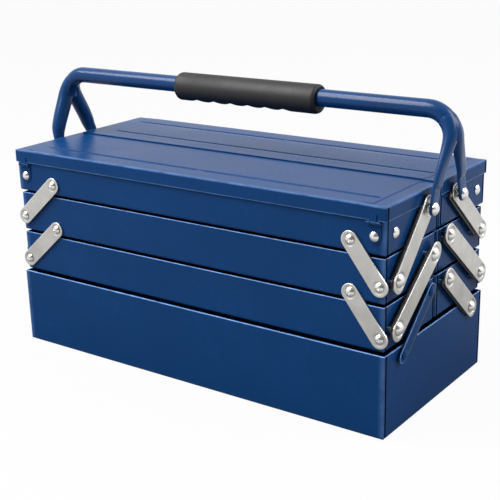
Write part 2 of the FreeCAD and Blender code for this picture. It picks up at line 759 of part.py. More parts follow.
def turned(steps, dome, direction, across, up):
    """Turn a rivet: steps are (start, end, radius), dome is (base, radius, height); direction points outwards."""
    points = [FreeCAD.Vector(steps[0][0], 0, 0)]
    for start, end, radius in steps:
        points.append(FreeCAD.Vector(start, radius, 0))
        points.append(FreeCAD.Vector(end, radius, 0))
    if dome:
        base, radius, height = dome
        lip = size("dome_lip")
        rise = height - lip
        ball = (radius ** 2 + rise ** 2) / (2 * rise)
        half = math.asin(radius / ball) / 2
        points.append(FreeCAD.Vector(base, radius, 0))
        points.append(FreeCAD.Vector(base + lip, radius, 0))
        top = FreeCAD.Vector(base + height, 0, 0)
        middle = FreeCAD.Vector(base + height - ball * (1 - math.cos(half)), ball * math.sin(half), 0)
        edges = [Part.Arc(points[-1], middle, top).toShape()]
    else:
        top = FreeCAD.Vector(steps[-1][1], 0, 0)
        edges = [Part.makeLine(points[-1], top)]
    for first, second in zip(points, points[1:]):
        if first.distanceToPoint(second) > 1e-6:
            edges.append(Part.makeLine(first, second))
    edges.append(Part.makeLine(top, points[0]))
    face = Part.Face(Part.Wire(Part.__sortEdges__(edges)))
    solid = face.revolve(FreeCAD.Vector(0, 0, 0), FreeCAD.Vector(1, 0, 0), 360)
    turn = FreeCAD.Rotation(FreeCAD.Vector(1, 0, 0), direction)
    sideways = FreeCAD.Vector(0, across, 0) if direction.x else FreeCAD.Vector(across, 0, 0)
    solid.Placement = FreeCAD.Placement(sideways + FreeCAD.Vector(0, 0, up), turn)
    return solid


def wall_of(level):
    """Sheet of a tray or of the base box."""
    return size("box_sheet") if level == "base" else size("tray_sheet")


def pivot_rivet(level, sign, across, up, plain=False, holds_handle=False, covered=False):
    """The domed rivet of an arm's pivot, with a collar that keeps the arm off the wall.

    A covered one lies behind a foot of the handle, and is flatter.
    """
    face = number(end_rule(level))
    inside = face - wall_of(level)
    gap = size("face_gap")
    pin = size("pivot_radius")
    steps = [
        (inside - size("pivot_head_height"), inside, size("pivot_head_radius")),
        (inside, face, pin),
        (face, arm_plane - gap, size("pivot_collar_radius")),
        (arm_plane - gap, arm_face + gap, pin),
    ]
    dome = (arm_face + gap, size("dome_radius"), size("dome_height"))
    if covered:
        dome = (arm_face + gap, size("small_dome_radius"), size("covered_dome_height"))
    if plain:
        dome = (arm_face + gap, size("small_dome_radius"), size("small_dome_height"))
    if holds_handle:
        steps.append((arm_face + gap, foot_plane - gap, size("small_dome_radius")))
        steps.append((foot_plane - gap, foot_face + gap, pin))
        dome = (foot_face + gap, size("dome_radius"), size("dome_height"))
    return turned(steps, dome, FreeCAD.Vector(sign, 0, 0), across, up)


def link_pin(level, sign, across, up):
    """The flush pin of a link."""
    face = number(end_rule(level))
    inside = face - wall_of(level)
    gap = size("face_gap")
    steps = [
        (inside - size("link_head_height"), inside, size("link_head_radius")),
        (inside, face, size("link_pin_radius")),
        (face, link_plane - gap, size("link_collar_radius")),
        (link_plane - gap, link_plane + size("link_sheet") + gap, size("link_pin_radius")),
    ]
    return turned(steps, None, FreeCAD.Vector(sign, 0, 0), across, up)


def lone_rivet(inside, face, radius, direction, across, up):
    """A short rivet that clamps sheets from inside to face."""
    steps = [
        (inside - size("link_head_height"), inside, 2 * size("small_shank_radius")),
        (inside, face, size("small_shank_radius")),
    ]
    return turned(steps, (face, radius, size("small_dome_height")), direction, across, up)


def tier_rivets(side, level):
    """Arm rivets and link pins that one body carries on one side, at both ends."""
    rivets = []
    places = []
    if level != "base":
        tier = TIER[f"{side}_{level}"]
        holds_handle = tier.name == "front_upper"
        covered = tier.name == "rear_upper"
        places.append((tier.high, tier.link_high, tier.name in PLAIN_ARMS, holds_handle, covered))
    if level != "upper":
        above = "lower" if level == "base" else LEVELS[LEVELS.index(level) + 1]
        tier = TIER[f"{side}_{above}"]
        places.append((tier.low, tier.link_low, tier.name in PLAIN_ARMS, False, False))
    for sign in ENDS.values():
        for pivot, pin, plain, holds_handle, covered in places:
            rivets.append(pivot_rivet(level, sign, SIDES[side] * pivot[0], pivot[1], plain, holds_handle, covered))
            rivets.append(link_pin(level, sign, SIDES[side] * pin[0], pin[1]))
    return rivets


def bar_rivets(side, level):
    """The rivet and the latch button of each short bar."""
    face = number(outer_rule(level))
    inside = face - size("tray_sheet")
    bar_low = face + size("bar_stand_off")
    bar_high = bar_low + size("bar_sheet")
    shank = size("small_shank_radius")
    dome = (bar_high, size("small_dome_radius"), size("small_dome_height"))
    outward = FreeCAD.Vector(0, SIDES[side], 0)
    rivets = []
    for end, sign in ENDS.items():
        steps = [
            (inside - size("link_head_height"), inside, 2 * shank),
            (inside, face, shank),
            (face, bar_low, size("bar_collar_radius")),
            (bar_low, bar_high, shank),
        ]
        rivets.append(turned(steps, dome, outward, sign * bar_top_x[end], bar_top_up(level)))
        button_x = sign * (bar_top_x[end] + bar_run[end])
        button_up = bar_top_up(level) - size("bar_drop")
        rivets.append(turned([(bar_low, bar_high, shank)], dome, outward, button_x, button_up))
    return rivets


def corner_rivets(side):
    """The lone rivets of an upper tray, through the gussets; those of the long face hold the hinge leaves."""
    outward = FreeCAD.Vector(0, SIDES[side], 0)
    plates = size("tray_sheet") + size("gusset_sheet")
    rivets = []
    for sign in ENDS.values():
        rivets.append(lone_rivet(upper_end - plates, upper_end, size("end_dome_radius"),
                                 FreeCAD.Vector(sign, 0, 0), SIDES[side] * gusset_rivet_out, gusset_rivet_up))
        rivets.append(lone_rivet(upper_outer - plates, upper_outer + size("leaf_sheet"),
                                 size("small_dome_radius"), outward, sign * hinge_x, leaf_rivet_up))
    return rivets


def make_rivets():
    """All rivets, one group for each body that carries them."""
    shape_node("base_pivot_rivets", Part.makeCompound(tier_rivets("front", "base") + tier_rivets("rear", "base")))
    for side in SIDES:
        for level in LEVELS:
            rivets = tier_rivets(side, level)
            if level != "lower":
                rivets += bar_rivets(side, level)
            if level == "upper":
                rivets += corner_rivets(side)
            shape_node(f"{side}_{level}_rivets", Part.makeCompound(rivets))


# Handle

def round_wire(radius, centre, normal):
    """A circle as a wire."""
    return Part.Wire(Part.makeCircle(radius, centre, normal))


def swept(path, radius):
    """A round bar along a path that starts downwards or upwards."""
    start = path.OrderedVertexes[0].Point
    normal = path.OrderedEdges[0].tangentAt(path.OrderedEdges[0].FirstParameter)
    return path.makePipeShell([round_wire(radius, start, normal)], True, False)


class Leg:
    """One leg of the fork at the right end, from the bend of the tube to its flattened foot."""

    def __init__(self, side, foot):
        self.sign = SIDES[side]
        self.bend = size("handle_leg_bend")
        self.top_out = size("handle_setback") + self.sign * size("handle_leg_spread")
        self.top_up = tube_top - size("handle_bend_radius")
        self.foot_out = self.sign * foot[0]
        self.foot_up = foot[1]
        run = self.sign * (self.foot_out - self.top_out)
        drop = self.top_up - self.foot_up
        reach = math.hypot(run - self.bend, drop)
        self.turn = math.atan2(drop, self.bend - run) - math.acos(self.bend / reach)
        self.straight = math.sqrt(reach ** 2 - self.bend ** 2)

    def point(self, angle):
        """A point of the leg's bend."""
        out = self.top_out + self.sign * self.bend * (1 - math.cos(angle))
        return FreeCAD.Vector(tube_plane, out, self.top_up - self.bend * math.sin(angle))

    def path(self):
        """Bend and straight run, as far as the start of the flattened part."""
        down = FreeCAD.Vector(0, self.sign * math.sin(self.turn), -math.cos(self.turn))
        run = self.straight - size("foot_plate_length") - size("foot_taper_length")
        start = self.point(self.turn)
        arc = Part.Arc(self.point(0), self.point(self.turn / 2), start).toShape()
        return Part.Wire([arc, Part.makeLine(start, start + down * run)])

    def foot(self):
        """The flattened end with its hole, and the taper up to the round tube."""
        half = size("foot_width") / 2
        thick = size("foot_sheet")
        plate_end = size("foot_plate_length")
        taper_end = plate_end + size("foot_taper_length")
        across = FreeCAD.Rotation(FreeCAD.Vector(0, 1, 0), FreeCAD.Vector(0, 0, 1), FreeCAD.Vector(1, 0, 0), "ZXY")
        flat = Part.Ellipse(FreeCAD.Vector(0, 0, 0), half, thick / 2).toShape()
        flat.Placement = FreeCAD.Placement(FreeCAD.Vector(plate_end, 0, thick / 2), across)
        circle = Part.makeCircle(size("handle_leg_radius"))
        centre = tube_plane - foot_plane
        circle.Placement = FreeCAD.Placement(FreeCAD.Vector(taper_end, 0, centre), across)
        taper = Part.makeLoft([Part.Wire(flat), Part.Wire(circle)], True, True)
        plate = solid_box((0, -half, 0), (plate_end, half, thick))
        plate = plate.fuse(Part.makeCylinder(half, thick)).removeSplitter()
        rim = [edge for edge in plate.Edges
               if (flat_at(edge.BoundBox, 0) or flat_at(edge.BoundBox, thick)) and edge.BoundBox.XMin < plate_end - 1]
        plate = plate.makeFillet(thick * 0.4, rim)
        hole = Part.makeCylinder(size("pivot_radius") + size("running_gap"), thick)
        shape = plate.fuse(taper).cut(hole)
        along = FreeCAD.Vector(0, -self.sign * math.sin(self.turn), math.cos(self.turn))
        place = FreeCAD.Vector(foot_plane, self.foot_out, self.foot_up)
        shape.Placement = frame_at(place, along, FreeCAD.Vector(1, 0, 0))
        return shape


def handle_path():
    """Centre line of the tube: up from the fork, over the box and down again."""
    bend = size("handle_bend_radius")
    out = size("handle_setback")
    inner = tube_plane - bend
    corner = bend * math.sqrt(0.5)
    low = tube_top - bend
    ends = [FreeCAD.Vector(sign * tube_plane, out, low) for sign in (-1, 1)]
    middles = [FreeCAD.Vector(sign * (inner + corner), out, low + corner) for sign in (-1, 1)]
    tops = [FreeCAD.Vector(sign * inner, out, tube_top) for sign in (-1, 1)]
    return Part.Wire([
        Part.Arc(ends[0], middles[0], tops[0]).toShape(),
        Part.makeLine(tops[0], tops[1]),
        Part.Arc(tops[1], middles[1], ends[1]).toShape(),
    ])


def make_handle():
    """The welded handle: one hollow tube with a forked pair of legs at each end."""
    radius = size("handle_tube_radius")
    leg_radius = size("handle_leg_radius")
    wall = size("handle_tube_wall")
    legs = [Leg("front", TIER["front_upper"].high), Leg("rear", TIER["rear_upper"].high)]
    path = handle_path()
    shape = swept(path, radius)
    hollow = swept(path, radius - wall)
    for leg in legs:
        leg_path = leg.path()
        shell = swept(leg_path, leg_radius).fuse([Part.makeSphere(leg_radius, leg.point(0)), leg.foot()])
        inner = swept(leg_path, leg_radius - wall)
        mirror = (FreeCAD.Vector(0, 0, 0), FreeCAD.Vector(1, 0, 0))
        shape = shape.fuse([shell, shell.mirror(*mirror)])
        hollow = hollow.fuse([inner, inner.mirror(*mirror)])
    shape_node("handle_tube", shape.cut(hollow).removeSplitter())


def make_grip():
    """The foam grip: a sleeve on the tube with rounded ends and finger hollows beneath."""
    length = size("grip_length")
    radius = size("grip_radius")
    out = size("handle_setback")
    along = FreeCAD.Vector(1, 0, 0)
    middle = size("grip_shift")
    start = FreeCAD.Vector(middle - length / 2, out, tube_top)
    sleeve = Part.makeCylinder(radius, length, start, along)
    sleeve = sleeve.makeFillet(size("grip_edge_radius"), [edge for edge in sleeve.Edges
                                                          if edge.BoundBox.XLength < 0.01])
    hollow = size("grip_hollow_radius")
    centre_up = tube_top - radius - hollow + size("grip_hollow_depth")
    for index in range(GRIP_HOLLOWS):
        x = middle + size("grip_hollow_shift") + (index - (GRIP_HOLLOWS - 1) / 2) * size("grip_hollow_pitch")
        cutter = Part.makeCylinder(hollow, 2 * radius, FreeCAD.Vector(x, out - radius, centre_up),
                                   FreeCAD.Vector(0, 1, 0))
        sleeve = sleeve.cut(cutter)
    bore = Part.makeCylinder(size("handle_tube_radius") + size("running_gap"), length, start, along)
    shape_node("handle_grip", sleeve.cut(bore))


def make_studs():
    """The snap studs of the handle's rear feet."""
    foot = TIER["rear_upper"].high
    dome = (foot_face, size("dome_radius"), size("dome_height"))
    studs = [turned([(foot_plane, foot_face, size("pivot_radius"))], dome,
                    FreeCAD.Vector(sign, 0, 0), foot[0], foot[1]) for sign in ENDS.values()]
    shape_node("handle_rear_studs", Part.makeCompound(studs))


def check_and_write():
    """Stop if any object failed, then write one file for each sub-part."""
    doc.recompute()
    for item in doc.Objects:
        if "Invalid" in item.State or "Error" in item.State:
            raise RuntimeError(f"{item.Label} failed: {item.State}")
    for node in nodes:
        if node.Shape.isNull() or not node.Shape.isValid():
            raise RuntimeError(f"{node.Label} has no valid shape")
    os.makedirs("parts", exist_ok=True)
    for node in nodes:
        node.Shape.exportStep(f"parts/{node.Label}.step")
    print(len(nodes), "parts written")


def main():
    """Build every sub-part and write it."""
    make_base()
    for side in SIDES:
        for level in LEVELS:
            make_tray(side, level)
            for end in ENDS:
                make_arm(TIER[f"{side}_{level}"], end)
                make_link(TIER[f"{side}_{level}"], end)
                if level != "lower":
                    make_latch_bar(side, level, end)
        make_lid(side)
        hinge_leaves(side)
        hinge_pins(side)
        gussets(side)
    make_rivets()
    make_handle()
    make_grip()
    make_studs()
    check_and_write()


main()
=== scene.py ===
"""Looks of a cantilever tool box: blue pans and lids, bright arms and rivets, a forked tube handle with a foam grip."""
import json
import logging
import math
from dataclasses import dataclass, field
from enum import Enum
from typing import Callable, Iterable, Sequence

import bmesh
import bpy
from mathutils import Matrix, Vector

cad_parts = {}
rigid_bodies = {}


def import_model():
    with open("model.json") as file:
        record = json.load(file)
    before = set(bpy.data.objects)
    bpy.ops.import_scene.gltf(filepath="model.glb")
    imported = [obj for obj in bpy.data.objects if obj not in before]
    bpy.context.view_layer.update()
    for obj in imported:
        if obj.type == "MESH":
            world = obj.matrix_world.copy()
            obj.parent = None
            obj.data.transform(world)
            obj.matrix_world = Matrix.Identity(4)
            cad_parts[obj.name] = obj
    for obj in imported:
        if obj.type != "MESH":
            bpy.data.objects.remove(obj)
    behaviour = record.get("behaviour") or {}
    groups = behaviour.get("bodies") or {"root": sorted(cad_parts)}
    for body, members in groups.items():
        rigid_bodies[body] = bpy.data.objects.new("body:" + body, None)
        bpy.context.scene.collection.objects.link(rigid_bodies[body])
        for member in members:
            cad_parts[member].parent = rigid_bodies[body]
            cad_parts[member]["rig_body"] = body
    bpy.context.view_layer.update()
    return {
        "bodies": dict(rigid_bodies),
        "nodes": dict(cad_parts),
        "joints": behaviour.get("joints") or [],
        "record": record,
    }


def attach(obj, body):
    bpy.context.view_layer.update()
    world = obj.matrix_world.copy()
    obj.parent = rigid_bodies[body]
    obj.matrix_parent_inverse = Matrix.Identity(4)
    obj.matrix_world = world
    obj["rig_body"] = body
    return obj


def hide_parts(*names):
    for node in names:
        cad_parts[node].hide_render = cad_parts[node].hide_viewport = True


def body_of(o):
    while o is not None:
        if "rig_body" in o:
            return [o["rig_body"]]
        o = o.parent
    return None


LOG = logging.getLogger("tool_box")
MM = 0.001
SHARP_ANGLE = math.radians(32)
# Name of the point attribute that holds painted light: a painted highlight on edges above zero, painted shade in seams
# below zero.
PAINTED_LIGHT = "rub"
Point = tuple[float, float, float]
Profile = list[tuple[float, float]]


class Side(Enum):
    """The two long sides of the box, with their direction along Y."""

    FRONT = ("front", -1)
    REAR = ("rear", 1)

    @property
    def word(self) -> str:
        """The word that the side's pieces start with."""
        return self.value[0]

    @property
    def sign(self) -> int:
        """Direction of the side along Y."""
        return self.value[1]


class Level(Enum):
    """Base box and tiers, from the bottom up."""

    BASE = "base"
    LOWER = "lower"
    MIDDLE = "middle"
    UPPER = "upper"


class End(Enum):
    """The two ends of the box, with their direction along X."""

    RIGHT = ("right", 1)
    LEFT = ("left", -1)

    @property
    def word(self) -> str:
        """The word that the end's pieces end with."""
        return self.value[0]

    @property
    def sign(self) -> int:
        """Direction of the end along X."""
        return self.value[1]


# Mesh drafts

class Draft:
    """Points and faces of one piece in millimetres, with each point's painted light: a painted highlight above zero,
    painted shade below zero.
    """

    def __init__(self) -> None:
        self.points: list[Point] = []
        self.faces: list[tuple[int, ...]] = []
        self.rub: list[float] = []

    def ring(self, points: Iterable[Point], rub: float | Sequence[float] = 0.0) -> list[int]:
        """Add a row of points.

        Args:
            points: Places of the points.
            rub: How strong the painted highlight on the edge there is, up to 1, or how deep the painted shade in a seam
                there is, down to -1.

        Returns:
            The numbers of the new points.
        """
        start = len(self.points)
        self.points.extend(tuple(point) for point in points)
        count = len(self.points) - start
        self.rub.extend([rub] * count if isinstance(rub, (int, float)) else rub)
        return list(range(start, start + count))

    def bridge(self, first: Sequence[int], second: Sequence[int], closed: bool = True) -> None:
        """Lay faces between two rows of points; a row of one point is a pole.

        Args:
            first: One row.
            second: The next row, as long as the first unless one is a pole.
            closed: Whether the last point joins the first.
        """
        count = max(len(first), len(second))
        for index in range(count if closed else count - 1):
            after = (index + 1) % count
            if len(first) == 1:
                self.faces.append((first[0], second[index], second[after]))
            elif len(second) == 1:
                self.faces.append((first[index], first[after], second[0]))
            else:
                self.faces.append((first[index], first[after], second[after], second[index]))

    def loft(self, rings: Sequence[Sequence[int]], closed: bool = True) -> None:
        """Lay faces between each row and the next.

        Args:
            rings: Rows of point numbers.
            closed: Whether each row is a loop.
        """
        for first, second in zip(rings, rings[1:]):
            self.bridge(first, second, closed)

    def cap(self, ring: Sequence[int]) -> None:
        """Close a loop with one flat face."""
        self.faces.append(tuple(ring))

    def add(self, other: "Draft", matrix: Matrix) -> None:
        """Add a moved copy of another draft.

        Args:
            other: The draft to copy.
            matrix: Where the copy goes.
        """
        start = len(self.points)
        self.points.extend(tuple(matrix @ Vector(point)) for point in other.points)
        self.faces.extend(tuple(start + index for index in face) for face in other.faces)
        self.rub.extend(other.rub)

    def build(self, name: str, material: bpy.types.Material) -> bpy.types.Object:
        """Make the draft a mesh object in metres, with its faces outwards.

        Args:
            name: Name of the object.
            material: Its finish.

        Returns:
            The new object, at the origin.
        """
        mesh = bpy.data.meshes.new(name)
        mesh.from_pydata([tuple(MM * value for value in point) for point in self.points], [], self.faces)
        attribute = mesh.attributes.new(PAINTED_LIGHT, "FLOAT", "POINT")
        attribute.data.foreach_set("value", self.rub)
        tidy_mesh(mesh)
        return dressed_object(name, mesh, material)


def tidy_mesh(mesh: bpy.types.Mesh, merge: float = 1e-6) -> None:
    """Merge doubled points, turn the faces outwards and shade the mesh by angle.

    Args:
        mesh: The mesh to change.
        merge: Greatest distance between points that become one, in metres.
    """
    work = bmesh.new()
    work.from_mesh(mesh)
    bmesh.ops.remove_doubles(work, verts=work.verts, dist=merge)
    bmesh.ops.dissolve_degenerate(work, edges=work.edges, dist=merge)
    bmesh.ops.recalc_face_normals(work, faces=work.faces)
    work.to_mesh(mesh)
    work.free()
    mesh.shade_smooth()
    mesh.set_sharp_from_angle(angle=SHARP_ANGLE)


def dressed_object(name: str, mesh: bpy.types.Mesh, material: bpy.types.Material) -> bpy.types.Object:
    """Link a new object with one material to the scene.

    Args:
        name: Name of the object.
        mesh: Its mesh.
        material: Its only finish.

    Returns:
        The new object.
    """
    mesh.materials.clear()
    mesh.materials.append(material)
    piece = bpy.data.objects.new(name, mesh)
    bpy.context.scene.collection.objects.link(piece)
    return piece


def arc_steps(count: int) -> list[float]:
    """Angles of a quarter turn in equal steps, both ends included."""
    return [math.pi / 2 * step / count for step in range(count + 1)]


def smooth_step(low: float, high: float, value: float) -> float:
    """A smooth rise from 0 at low to 1 at high."""
    share = min(max((value - low) / (high - low), 0.0), 1.0)
    return share * share * (3 - 2 * share)


def spaced(start: float, stop: float, step: float) -> list[float]:
    """Even places from start to stop, at most a step apart.

    Args:
        start: First place.
        stop: Last place.
        step: Greatest distance between two places.

    Returns:
        The places, both ends included.
    """
    count = max(1, math.ceil(abs(stop - start) / step))
    return [start + (stop - start) * index / count for index in range(count + 1)]


def lines_with_detail(start: float, stop: float, coarse: float, fine: float,
                      spots: Sequence[tuple[float, float]]) -> list[float]:
    """Grid lines that lie closer together around the given spots.

    Args:
        start: First line.
        stop: Last line.
        coarse: Step away from the spots.
        fine: Step around them.
        spots: Middle and reach of each spot.

    Returns:
        Rising places of the lines.
    """
    places = [start]
    while places[-1] < stop:
        here = places[-1]
        close = any(abs(here - middle) <= reach for middle, reach in spots)
        ahead = [middle - reach - here for middle, reach in spots if middle - reach > here]
        step = fine if close else min([coarse] + [gap + fine for gap in ahead])
        places.append(min(here + step, stop))
    return places


def turned_profile(profile: Profile, sides: int) -> Draft:
    """Turn a profile of distances along and from the Z axis.

    Args:
        profile: Pairs of radius and height, from one pole to the other.
        sides: Points of each ring.

    Returns:
        The turned shape.
    """
    draft = Draft()
    rings = []
    for radius, height in profile:
        if radius < 1e-6:
            rings.append(draft.ring([(0, 0, height)]))
            continue
        turns = [2 * math.pi * index / sides for index in range(sides)]
        rings.append(draft.ring((radius * math.cos(turn), radius * math.sin(turn), height) for turn in turns))
    draft.loft(rings)
    return draft


# Node trees

class Tree:
    """Short calls for building one node tree."""

    def __init__(self, tree: bpy.types.NodeTree) -> None:
        self.tree = tree

    def add(self, kind: str, inputs: dict | None = None, **settings: object) -> bpy.types.Node:
        """Add a node.

        Args:
            kind: The node's type.
            inputs: A value for an input, or the output that feeds it, by name or number.
            **settings: Properties of the node.

        Returns:
            The node.
        """
        node = self.tree.nodes.new(kind)
        for word, value in settings.items():
            setattr(node, word, value)
        for key, value in (inputs or {}).items():
            socket = node.inputs[key]
            if isinstance(value, bpy.types.NodeSocket):
                self.tree.links.new(value, socket)
            else:
                socket.default_value = value
        return node

    def math(self, operation: str, *values: object) -> bpy.types.NodeSocket:
        """The result of a shader Math node on values or outputs."""
        node = self.add("ShaderNodeMath", dict(enumerate(values)), operation=operation)
        return node.outputs[0]

    def spread(self, value: bpy.types.NodeSocket, low: float, high: float,
               to_low: float = 0.0, to_high: float = 1.0) -> bpy.types.NodeSocket:
        """A value moved from one range to another and held inside it."""
        inputs = {"Value": value, "From Min": low, "From Max": high, "To Min": to_low, "To Max": to_high}
        return self.add("ShaderNodeMapRange", inputs).outputs["Result"]

    def noise(self, vector: bpy.types.NodeSocket, scale: float, detail: float = 3.0) -> bpy.types.NodeSocket:
        """A noise value over the surface."""
        inputs = {"Vector": vector, "Scale": scale, "Detail": detail}
        return self.add("ShaderNodeTexNoise", inputs).outputs["Fac"]

    def mix(self, share: object, first: object, second: object) -> bpy.types.NodeSocket:
        """A mix of two colours."""
        node = self.add("ShaderNodeMix", data_type="RGBA")
        for index, value in ((0, share), (6, first), (7, second)):
            if isinstance(value, bpy.types.NodeSocket):
                self.tree.links.new(value, node.inputs[index])
            else:
                node.inputs[index].default_value = value
        return node.outputs[2]


def new_group(name: str, kind: str, inputs: dict[str, tuple[str, object]], outputs: dict[str, str]) -> Tree:
    """Start a node group with named sockets.

    Args:
        name: Name of the group.
        kind: Type of the tree.
        inputs: Socket type and starting value by name.
        outputs: Socket type by name.

    Returns:
        The empty tree.
    """
    tree = bpy.data.node_groups.new(name, kind)
    for word, (socket, value) in inputs.items():
        made = tree.interface.new_socket(name=word, in_out="INPUT", socket_type=socket)
        if value is not None:
            made.default_value = value
    for word, socket in outputs.items():
        tree.interface.new_socket(name=word, in_out="OUTPUT", socket_type=socket)
    return Tree(tree)


FLOAT = "NodeSocketFloat"
VECTOR = "NodeSocketVector"
GEOMETRY = "NodeSocketGeometry"


class Effects:
    """Shader node groups that the finishes share, each built once."""

    def __init__(self) -> None:
        self.grain = self.build_grain()
        self.rubbed_edges = self.build_rubbed_edges()
        self.handling = self.build_handling()

    def build_grain(self) -> bpy.types.NodeTree:
        """Fine grain over slow waves: a height for a bump, and the fine part alone."""
        inputs = {"Position": (VECTOR, None), "Fine scale": (FLOAT, 900.0), "Wave scale": (FLOAT, 14.0),
                  "Wave share": (FLOAT, 1.0)}
        tree = new_group("Grain", "ShaderNodeTree", inputs, {"Height": FLOAT, "Fine": FLOAT})
        given = tree.add("NodeGroupInput").outputs
        fine = tree.add("ShaderNodeTexNoise", {"Vector": given["Position"], "Scale": given["Fine scale"],
                                               "Detail": 2.0}).outputs["Fac"]
        wave = tree.add("ShaderNodeTexNoise", {"Vector": given["Position"], "Scale": given["Wave scale"],
                                               "Detail": 1.0}).outputs["Fac"]
        waves = tree.math("MULTIPLY", wave, given["Wave share"])
        height = tree.math("ADD", fine, waves)
        tree.add("NodeGroupOutput", {"Height": height, "Fine": fine})
        return tree.tree

    def build_rubbed_edges(self) -> bpy.types.NodeTree:
        """A mask of painted highlight along edges and rims, broken up by noise, and one of painted shade in seams."""
        inputs = {"Position": (VECTOR, None), "Amount": (FLOAT, 1.0), "Break scale": (FLOAT, 60.0)}
        tree = new_group("Painted edge light and seam shade", "ShaderNodeTree", inputs, {"Mask": FLOAT, "Seam shade": FLOAT})
        given = tree.add("NodeGroupInput").outputs
        edge = tree.add("ShaderNodeAttribute", attribute_name=PAINTED_LIGHT).outputs["Fac"]
        noise = tree.add("ShaderNodeTexNoise", {"Vector": given["Position"], "Scale": given["Break scale"],
                                                "Detail": 4.0}).outputs["Fac"]
        # Above zero the attribute lightens edges and rims, a painted highlight broken up by noise; below zero it
        # darkens corner seams and slits, painted shade.
        broken = tree.spread(noise, 0.3, 0.6, 0.45, 1.0)
        mask = tree.math("MULTIPLY", tree.math("MULTIPLY", tree.spread(edge, 0.0, 1.0), broken), given["Amount"])
        seam_shade = tree.spread(edge, 0.0, -0.8, 0.0, 0.85)
        tree.add("NodeGroupOutput", {"Mask": mask, "Seam shade": seam_shade})
        return tree.tree

    def build_handling(self) -> bpy.types.NodeTree:
        """Smudges of handling and dust: a slow mask and a speckled one."""
        inputs = {"Position": (VECTOR, None), "Smudge scale": (FLOAT, 9.0), "Speckle scale": (FLOAT, 160.0)}
        tree = new_group("Handling", "ShaderNodeTree", inputs, {"Smudge": FLOAT, "Speckle": FLOAT})
        given = tree.add("NodeGroupInput").outputs
        slow = tree.add("ShaderNodeTexNoise", {"Vector": given["Position"], "Scale": given["Smudge scale"],
                                               "Detail": 5.0, "Roughness": 0.6}).outputs["Fac"]
        quick = tree.add("ShaderNodeTexNoise", {"Vector": given["Position"], "Scale": given["Speckle scale"],
                                                "Detail": 3.0}).outputs["Fac"]
        tree.add("NodeGroupOutput", {"Smudge": tree.spread(slow, 0.35, 0.7), "Speckle": tree.spread(quick, 0.62, 0.75)})
        return tree.tree


def group_node(tree: Tree, group: bpy.types.NodeTree, inputs: dict) -> bpy.types.Node:
    """Place a shared group in a material.

    Args:
        tree: The material's tree.
        group: The shared group.
        inputs: Its own values here.

    Returns:
        The group's node.
    """
    node = tree.tree.nodes.new("ShaderNodeGroup")
    node.node_tree = group
    for key, value in inputs.items():
        if isinstance(value, bpy.types.NodeSocket):
            tree.tree.links.new(value, node.inputs[key])
        else:
            node.inputs[key].default_value = value
    return node


def start_material(name: str) -> tuple[bpy.types.Material, Tree, bpy.types.Node, bpy.types.NodeSocket]:
    """A new material with its shader and the object's own coordinates.

    Args:
        name: Name of the material.

    Returns:
        The material, its tree, its shader and the coordinates.
    """
    material = bpy.data.materials.new(name)
    material.use_nodes = True
    tree = Tree(material.node_tree)
    shader = next(node for node in material.node_tree.nodes if node.type == "BSDF_PRINCIPLED")
    position = tree.add("ShaderNodeTexCoord").outputs["Object"]
    return material, tree, shader, position


def scaled_colour(colour: Point, share: float) -> tuple[float, float, float, float]:
    """A colour made lighter or darker."""
    return tuple(min(value * share, 1.0) for value in colour) + (1.0,)


@dataclass(frozen=True)
class PowderCoat:
    """Semi-gloss, finely textured coat, with a painted highlight along edges and rims and painted shade in corner seams
    and slits.
    """

    name: str = "blue_paint"
    colour: Point = (0.0033, 0.0315, 0.112)
    # Pale colour for the painted highlight along edges and rims, and near-black one for the painted shade in corner
    # seams and slits.
    rubbed: Point = (0.17, 0.33, 0.68)
    grimy: Point = (0.001, 0.006, 0.02)
    roughness: float = 0.22
    specular: float = 0.06
    texture_depth: float = 0.00009
    wave_share: float = 5.0
    edge_amount: float = 0.95

    def build(self, effects: Effects) -> bpy.types.Material:
        """Make the material.

        Args:
            effects: The shared groups.

        Returns:
            The material.
        """
        material, tree, shader, position = start_material(self.name)
        grain = group_node(tree, effects.grain, {"Position": position, "Fine scale": 1100.0, "Wave scale": 16.0,
                                                 "Wave share": self.wave_share})
        edges = group_node(tree, effects.rubbed_edges, {"Position": position, "Amount": self.edge_amount})
        handled = group_node(tree, effects.handling, {"Position": position})
        plain = tree.mix(handled.outputs["Smudge"], scaled_colour(self.colour, 0.93),
                         scaled_colour(self.colour, 1.1))
        mottled = tree.mix(tree.spread(grain.outputs["Fine"], 0.3, 0.7, 0.0, 0.5), plain,
                           scaled_colour(self.colour, 1.25))
        # Painted highlight on edges and rims, then painted shade in corner seams and slits.
        rubbed = tree.mix(edges.outputs["Mask"], mottled, scaled_colour(self.rubbed, 1.0))
        grimy = tree.mix(edges.outputs["Seam shade"], rubbed, scaled_colour(self.grimy, 1.0))
        links = tree.tree.links
        links.new(grimy, shader.inputs["Base Color"])
        rough = tree.math("MULTIPLY_ADD", handled.outputs["Smudge"], 0.08, self.roughness)
        links.new(rough, shader.inputs["Roughness"])
        shader.inputs["Specular IOR Level"].default_value = self.specular
        bump = tree.add("ShaderNodeBump", {"Height": grain.outputs["Height"], "Strength": 0.5,
                                           "Distance": self.texture_depth})
        links.new(bump.outputs["Normal"], shader.inputs["Normal"])
        return material


